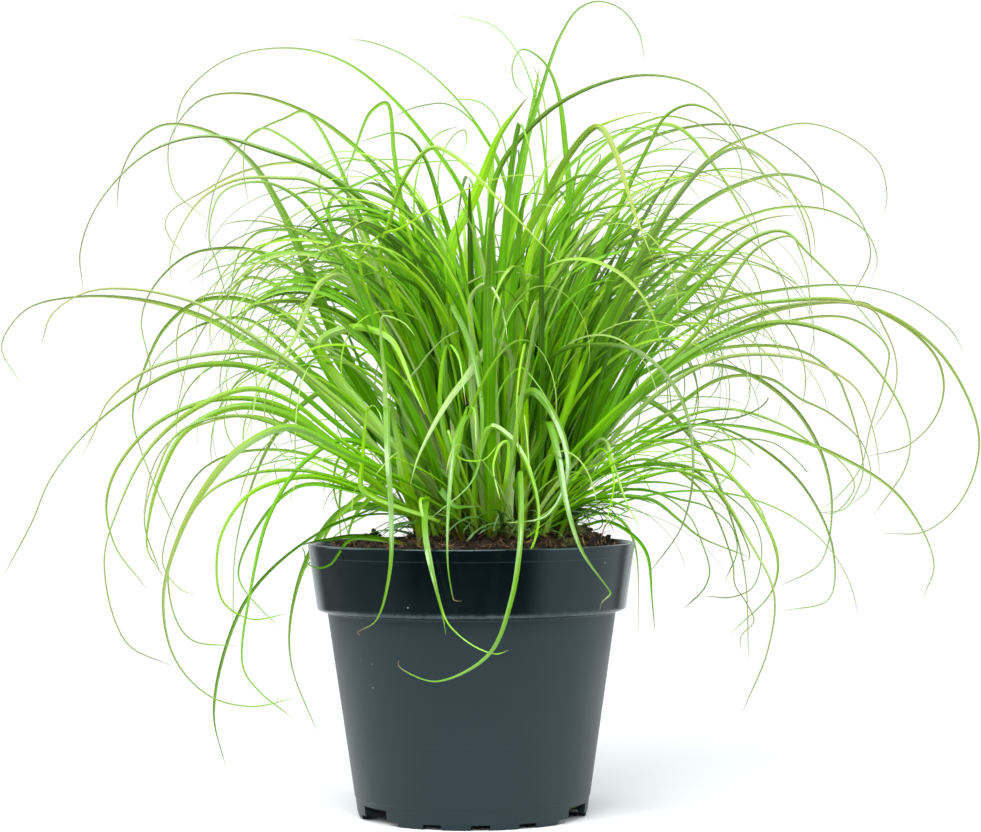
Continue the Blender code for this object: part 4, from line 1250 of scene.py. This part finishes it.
def traced_foot(lean, first, rng):
    """A traced leaf has its foot on the side of the crown that it leans to."""
    side = np.clip((from_photo(*first, 0.0)[0] - CROWN_MIDDLE.x) / SIDE_REACH, -1, 1)
    back = math.copysign(DEPTH_SHARE, lean[0]) if isinstance(lean, tuple) else np.clip(lean * side, -1, 1)
    right, front = side + rng.uniform(-FOOT_BLUR, FOOT_BLUR), -back + rng.uniform(-FOOT_BLUR, FOOT_BLUR)
    return crown_place(CROWN_RADIUS * rng.uniform(*FOOT_RADII), math.atan2(right, front))


def traced_route(lean, places, rng):
    starts_low = places[0][1] > CROWN_ROW
    foot = None if starts_low else traced_foot(lean, places[0], rng)
    if isinstance(lean, tuple):
        depths = np.linspace(*lean, len(places)) * MM
    else:
        depths = [depth_in_plane(column, foot, lean) for column, _ in places]
    spots = [from_photo(*place, depth) for place, depth in zip(places, depths)]
    if starts_low:
        return smooth_route([np.array((*spots[0][:2], ROOT_HEIGHT)), *spots])
    return smooth_route([foot, foot + (spots[0] - foot) * KNEE, *spots])


def traced_pieces(rng, material, front_material):
    for side, rows in TRACED.items():
        sheaf = Sheaf(f"grass_{side}")
        for width, tone, lean, places in rows:
            route = traced_route(lean, places, rng)
            turns = facing_turns(route, rng)
            section = FINE if width < FINE_UNDER_MM else BROAD
            add_blade(sheaf, stations(route), width * MM, tone, turns, section, rng.choice(BROWN_TIPS))
        sheaf.make(front_material if side == "front" else material, "leaf")


# ---- Seeded leaves -----------------------------------------------------------------------------------


# Kinds of seeded leaf. Widths and lengths are in mm. The lean at the foot, in the crown's middle and at its
# edge, and the droop at the tip are in degrees. bends is how late a leaf bends. The last three say in mm how
# low, how high and how far out it goes.
Kind = namedtuple("Kind", "count widths lengths leans droops bends tones section lowest highest furthest")
KINDS = {
    "core": Kind(165, (2.6, 4.9), (110, 275), (1, 28), (40, 115), (2.8, 4.6), (0, 0.9), BROAD, 114, 262, 114),
    "arching": Kind(160, (2, 4.2), (150, 330), (1, 32), (110, 185), (2, 3.6), (0, 1), BROAD, 126, 276, 122),
    "thread": Kind(
        165, (0.9, 1.8), (140, 330), (2, 36), (120, 250), (1.7, 3.2), (0.2, 1), FINE, 122, 280, 128,
    ),
    "low": Kind(6, (0.9, 1.8), (90, 240), (50, 72), (125, 200), (1.2, 2.2), (0.1, 0.7), FINE, 44, 170, 150),
    "hair": Kind(80, (0.6, 1.1), (60, 170), (18, 52), (110, 240), (1, 2.4), (0.5, 1), FINE, 110, 250, 112),
    "curl": Kind(130, (0.7, 1.5), (16, 52), (40, 72), (110, 230), (0.9, 1.8), (0, 0.6), FINE, 100, 140, 64),
}
TRIES = 60
SHEAF_COUNT = 6
FOOT_SPREAD = 0.55  # 0.5 spreads the feet evenly, and more gathers them toward the middle
LEAN_VARIES = (0.65, 1.2)
HEIGHT_VARIES = (0.88, 1.03)
REACH_VARIES = (0.62, 1.12)
WAVER = 4.5  # degrees
DRIFT = 36  # degrees, the usual turn aside: once at the foot, and again on the way
KINKED_SHARE = 0.03
KINK_PLACES = (0.45, 0.85)
KINK_ANGLES = (15, 45)
KINK_HALF_LENGTH = 0.012  # of the leaf
CROWN_USED = 0.92  # of the crown's radius, within which seeded leaves have their feet
FRONT_CLEARANCE = -48 * MM  # few leaves come further forward than this
FRONT_CHANCE = 0.2  # that one which does is kept
POT_VIEW_HALF = 72 * MM  # and none of those hangs down nearer to the pot's middle than this
FOOT_LENGTH = 28 * MM  # a leaf may be low over this much of its foot
ROOT_LENGTH = 8 * MM  # and lower than the rim over this much
RIM_GAP = (2 * MM, 1.5 * MM)  # beside the rim and above it
DOME_SHIFT = 11 * MM  # how far to the right of the crown the seeded leaves' dome has its middle
UNDERSIDE_TILT = 0.1  # how much the dome's underside rises to the right
DOME_POWER = 3.0


def arch(rng, foot, azimuth, lean, droop, length, bend, drift, kink):
    """A leaf that leaves its foot leaning by lean, and bends over to droop degrees from upright at its tip.

    azimuth is in degrees from the front toward +X, drift how far that turns on the way, bend how late it
    bends, and kink a sharp fold as (share of its length, degrees) or None.
    """
    count = max(10, round(length / CURVE_SPACING))
    t = np.linspace(0, 1, count + 1)
    tilt = lean + (droop - lean) * t**bend
    phase_a, phase_b = rng.uniform(0, math.tau), rng.uniform(0, math.tau)
    tilt += WAVER * t * np.sin(t * rng.uniform(5, 11) + phase_a)
    heading = azimuth + drift * t**1.6 + WAVER * 1.6 * t * np.sin(t * rng.uniform(4, 9) + phase_b)
    if kink:
        place, angle = kink
        tilt += share(t, place - KINK_HALF_LENGTH, place + KINK_HALF_LENGTH) * angle
    tilt, heading = np.radians(tilt), np.radians(heading)
    ways = np.column_stack((np.sin(tilt) * np.sin(heading), -np.sin(tilt) * np.cos(heading), np.cos(tilt)))
    return np.vstack((foot[None, :], foot[None, :] + np.cumsum(ways * (length / count), axis=0)))


def is_clear(route, lowest, highest, furthest):
    """Whether a leaf keeps within a dome and the plant's box, above lowest, and clear of the pot."""
    low, high = route.min(0), route.max(0)
    if (low[:2] < np.array(cad_low[:2])).any() or (high > np.array(cad_high)).any():
        return False
    along = lengths_along(route)
    underside = lowest + UNDERSIDE_TILT * np.maximum(route[:, 0], 0)
    if ((route[:, 2] < underside) & (along > FOOT_LENGTH)).any():
        return False
    dome_middle = np.array(CROWN_MIDDLE.xy) + (DOME_SHIFT, 0)
    out = np.linalg.norm(route[:, :2] - dome_middle, axis=1) / furthest
    up = (route[:, 2] - CROWN_MIDDLE.z) / (highest - CROWN_MIDDLE.z)
    if (out**DOME_POWER + np.maximum(up, 0) ** DOME_POWER).max() > 1:
        return False
    before_pot = (route[:, 1] < FRONT_CLEARANCE) & (route[:, 2] < RIM_HEIGHT)
    if (before_pot & (np.abs(route[:, 0]) < POT_VIEW_HALF)).any():
        return False
    beside, above = RIM_GAP
    over_pot = np.linalg.norm(route[:, :2], axis=1) < RIM_RADIUS + beside
    return not (over_pot & (route[:, 2] < RIM_HEIGHT + above) & (along > ROOT_LENGTH)).any()


def seeded_route(rng, kind):
    """A clear route of a leaf of this kind, or None when no try gives one."""
    for _ in range(TRIES):
        radius_share = rng.random() ** FOOT_SPREAD
        outward = rng.uniform(0, math.tau)
        foot = crown_place(CROWN_RADIUS * CROWN_USED * radius_share, outward)
        azimuth = math.degrees(outward) + rng.gauss(0, DRIFT)
        least, most = kind.leans
        lean = least + (most - least) * radius_share * rng.uniform(*LEAN_VARIES)
        length = rng.uniform(*kind.lengths) * MM
        kinked = rng.random() < KINKED_SHARE
        kink = (rng.uniform(*KINK_PLACES), rng.uniform(*KINK_ANGLES)) if kinked else None
        droop, bend, drift = rng.uniform(*kind.droops), rng.uniform(*kind.bends), rng.gauss(0, DRIFT)
        route = arch(rng, foot, azimuth, lean, droop, length, bend, drift, kink)
        crowds_front = route[:, 1].min() < FRONT_CLEARANCE and rng.random() > FRONT_CHANCE
        highest = kind.highest * MM * rng.uniform(*HEIGHT_VARIES)
        furthest = kind.furthest * MM * rng.uniform(*REACH_VARIES)
        if is_clear(route, kind.lowest * MM, highest, furthest) and not crowds_front:
            return route
    return None


def seeded_blades(rng, kind, sheaves):
    for number in range(kind.count):
        route = seeded_route(rng, kind)
        if route is None:
            continue
        brown = rng.choice(BROWN_TIPS)
        turns = natural_turns(route, rng)
        width, tone = rng.uniform(*kind.widths) * MM, rng.uniform(*kind.tones)
        add_blade(sheaves[number % len(sheaves)], stations(route), width, tone, turns, kind.section, brown)


def seeded_pieces(rng, material):
    curls = Sheaf("grass_curls")
    sheaves = [Sheaf(f"grass_{k + 1:02d}") for k in range(SHEAF_COUNT)]
    for name, kind in KINDS.items():
        seeded_blades(rng, kind, [curls] if name == "curl" else sheaves)
    curls.make(leaf_material("leaf_bluish", *BLUE_GREENS, 0.5), "leaf")
    for sheaf in sheaves:
        sheaf.make(material, "leaf")


# ---- Crown -------------------------------------------------------------------------------------------


SHEATH_WIDTHS = ((0.0, 1.0), (0.3, 0.95), (0.7, 0.72), (0.93, 0.4), (1.0, 0.08))
SHEATH_LENGTHS_MM = (10, 18)
SHEATH_WIDTHS_MM = (2.4, 3.4)
SHEATH_SPACING = 2 * MM
SHEATH_SINK = 1.5 * MM
SHEATH_TURN = 90  # degrees to either side
UPRIGHT = 0.8  # a sheath rises by at least this share of its length
CROWN_RINGS = 44
CROWN_STEPS = 200
CROWN_SURFACE = 0.985  # of the crown's radius
CROWN_WALL_MM = ((33, 98.9),)
CROWN_LOOK = (0.0, 0.5, 0.3, 0.0)


def make_sheaths(routes, material, rng):
    """A sheath round the foot of each leaf that stands up."""
    sheaf = Sheaf("crown_sheaths")
    for route in routes:
        tall = rng.uniform(*SHEATH_LENGTHS_MM) * MM
        part = evenly(smooth_route(route)[: round(tall / CURVE_SPACING)], SHEATH_SPACING)
        if part[-1, 2] - part[0, 2] < UPRIGHT * tall:
            continue
        part = part - np.array((0, 0, SHEATH_SINK))
        turns = [(end, rng.uniform(-SHEATH_TURN, SHEATH_TURN)) for end in (0, 1)]
        width = rng.uniform(*SHEATH_WIDTHS_MM) * MM
        add_blade(sheaf, part, width, rng.random(), turns, SHEATH, widths=SHEATH_WIDTHS, least=0.0)
    sheaf.make(material, "crown")


def make_crown(material):
    """The rootstock under the sheaths, roughened."""
    tree = node_tree("crown")

    def height_at(x, y):
        return crown_height(tree, x, y)

    size = (CROWN_RADIUS * CROWN_SURFACE, CROWN_RINGS, CROWN_STEPS)
    mesh = mound("crown_base", height_at, CROWN_MIDDLE.x, *size, CROWN_WALL_MM)
    paint_looks(mesh, np.tile(CROWN_LOOK, (len(mesh.vertices), 1)))
    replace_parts(piece_of("crown_base", mesh, material), "crown")


# ---- Stage -------------------------------------------------------------------------------------------


WHITE = (1.0, 1.0, 1.0)
COOL = (0.91, 0.98, 1.0)
# The glow of the studio's walls, as the plant sees them: the way toward each, the shares of facing it between
# which it comes up, and its strength. Toward the camera all is nearly dark.
FRONT_GLOW = 0.06
WALLS = (
    ((1.0, 0.0, 0.0), (0.6, 0.85), 0.85),
    ((-1.0, 0.0, 0.0), (0.6, 0.85), 0.24),
    ((0.0, 1.0, 0.0), (0.72, 0.88), 1.0),
    ((0.0, 0.0, 1.0), (0.2, 0.8), 0.35),
)
# Soft lights: name, place and size in metres, power in watts, colour.
LIGHTS = (
    ("top", (0.0, 0.1, 1.3), (1.4, 1.2), 9, WHITE),
    ("front", (-0.25, -1.0, 1.15), (1.7, 0.8), 42, WHITE),
    ("fill", (-0.3, -1.6, 0.5), (0.8, 0.35), 7, COOL),
    ("left", (-1.15, 0.2, 0.55), (0.9, 1.1), 8, COOL),
    ("right", (1.1, -0.42, 0.5), (0.6, 1.0), 7, COOL),
)
LIGHT_AIM = Vector((0, 0, 0.14))
FLOOR_RADIUS = 0.3
FLOOR_BACK = 0.09  # behind the pot, so that the pot's front reflects the dark side of the studio
FLOOR_STEPS = 96
FLOOR_WHITE = (0.66, 0.67, 0.67)
CLIP_START = 0.01


def make_camera():
    data = bpy.data.cameras.new("camera")
    data.sensor_fit = "HORIZONTAL"
    data.sensor_width = SENSOR_MM
    data.lens = PHOTO_FOCAL / PHOTO_WIDTH * SENSOR_MM
    data.clip_start = CLIP_START
    camera = placed("camera", data)
    camera.location = (CAMERA_X, -CAMERA_DISTANCE, CAMERA_HEIGHT)
    pitch = math.atan((PHOTO_EYE_ROW - PHOTO_HEIGHT / 2) / PHOTO_FOCAL)
    camera.rotation_euler = (math.pi / 2 + pitch, CAMERA_ROLL, 0)
    bpy.context.scene.camera = camera


def make_light(name, place, size, power, colour):
    data = bpy.data.lights.new(name, "AREA")
    data.shape = "RECTANGLE"
    data.size, data.size_y = size
    data.energy = power
    data.color = colour
    lamp = placed(name, data)
    lamp.location = place
    lamp.rotation_euler = (LIGHT_AIM - Vector(place)).to_track_quat("-Z", "Y").to_euler()
    lamp.visible_camera = False


def studio_world():
    """White behind the plant for the camera; what the plant itself sees is dark at the front."""
    n = Nodes(bpy.data.worlds.new("studio"))
    toward = n.add("ShaderNodeTexCoord").outputs["Generated"]
    seen = n.add("ShaderNodeLightPath").outputs["Is Camera Ray"]
    glow = FRONT_GLOW
    for side, (first, last), strength in WALLS:
        facing = n.add("ShaderNodeVectorMath", {0: toward, 1: side}, operation="DOT_PRODUCT").outputs["Value"]
        glow = n.plus(n.between(facing, first, last, 0.0, strength), glow)
    light = {"Color": n.mix(seen, COOL, WHITE), "Strength": n.math("MAXIMUM", seen, glow)}
    return n.show(n.add("ShaderNodeBackground", light).outputs[0], "ShaderNodeOutputWorld")


def make_floor():
    shape = bmesh.new()
    bmesh.ops.create_circle(shape, cap_ends=True, segments=FLOOR_STEPS, radius=FLOOR_RADIUS)
    floor = placed("floor", mesh_from("floor", shape))
    floor.location.y = FLOOR_BACK
    n = new_material("floor_white")
    white = n.add("ShaderNodeBsdfDiffuse", {"Color": FLOOR_WHITE})
    floor.data.materials.append(n.show(white.outputs[0]))


def make_stage():
    make_floor()
    bpy.context.scene.world = studio_world()
    for light in LIGHTS:
        make_light(*light)
    bpy.context.scene.view_settings.view_transform = "Standard"


def main():
    rng = random.Random(SEED)
    make_stage()
    make_camera()
    make_pot()
    peat = soil_material()
    make_soil(peat)
    make_crumbs(peat, rng)
    make_fibres(fibre_material("soil_fibre", PEAT_BLACK, COIR), rng)
    make_crown(fibre_material("crown_bark", PEAT_BLACK, BARK))
    leaf = leaf_material("leaf_green", *GREENS, 0.1)
    hanging_leaf = leaf_material("leaf_hanging", *HANGING_GREENS, 0.8, coat=0.5)
    glossy_leaf = leaf_material("leaf_glossy", *GREENS, 0.8, coat=0.4, greying=0.35)
    routes = leaf_pieces(rng, leaf, hanging_leaf)
    traced_pieces(rng, leaf, glossy_leaf)
    seeded_pieces(rng, leaf)
    make_sheaths(routes, sheath_material(), rng)


main()
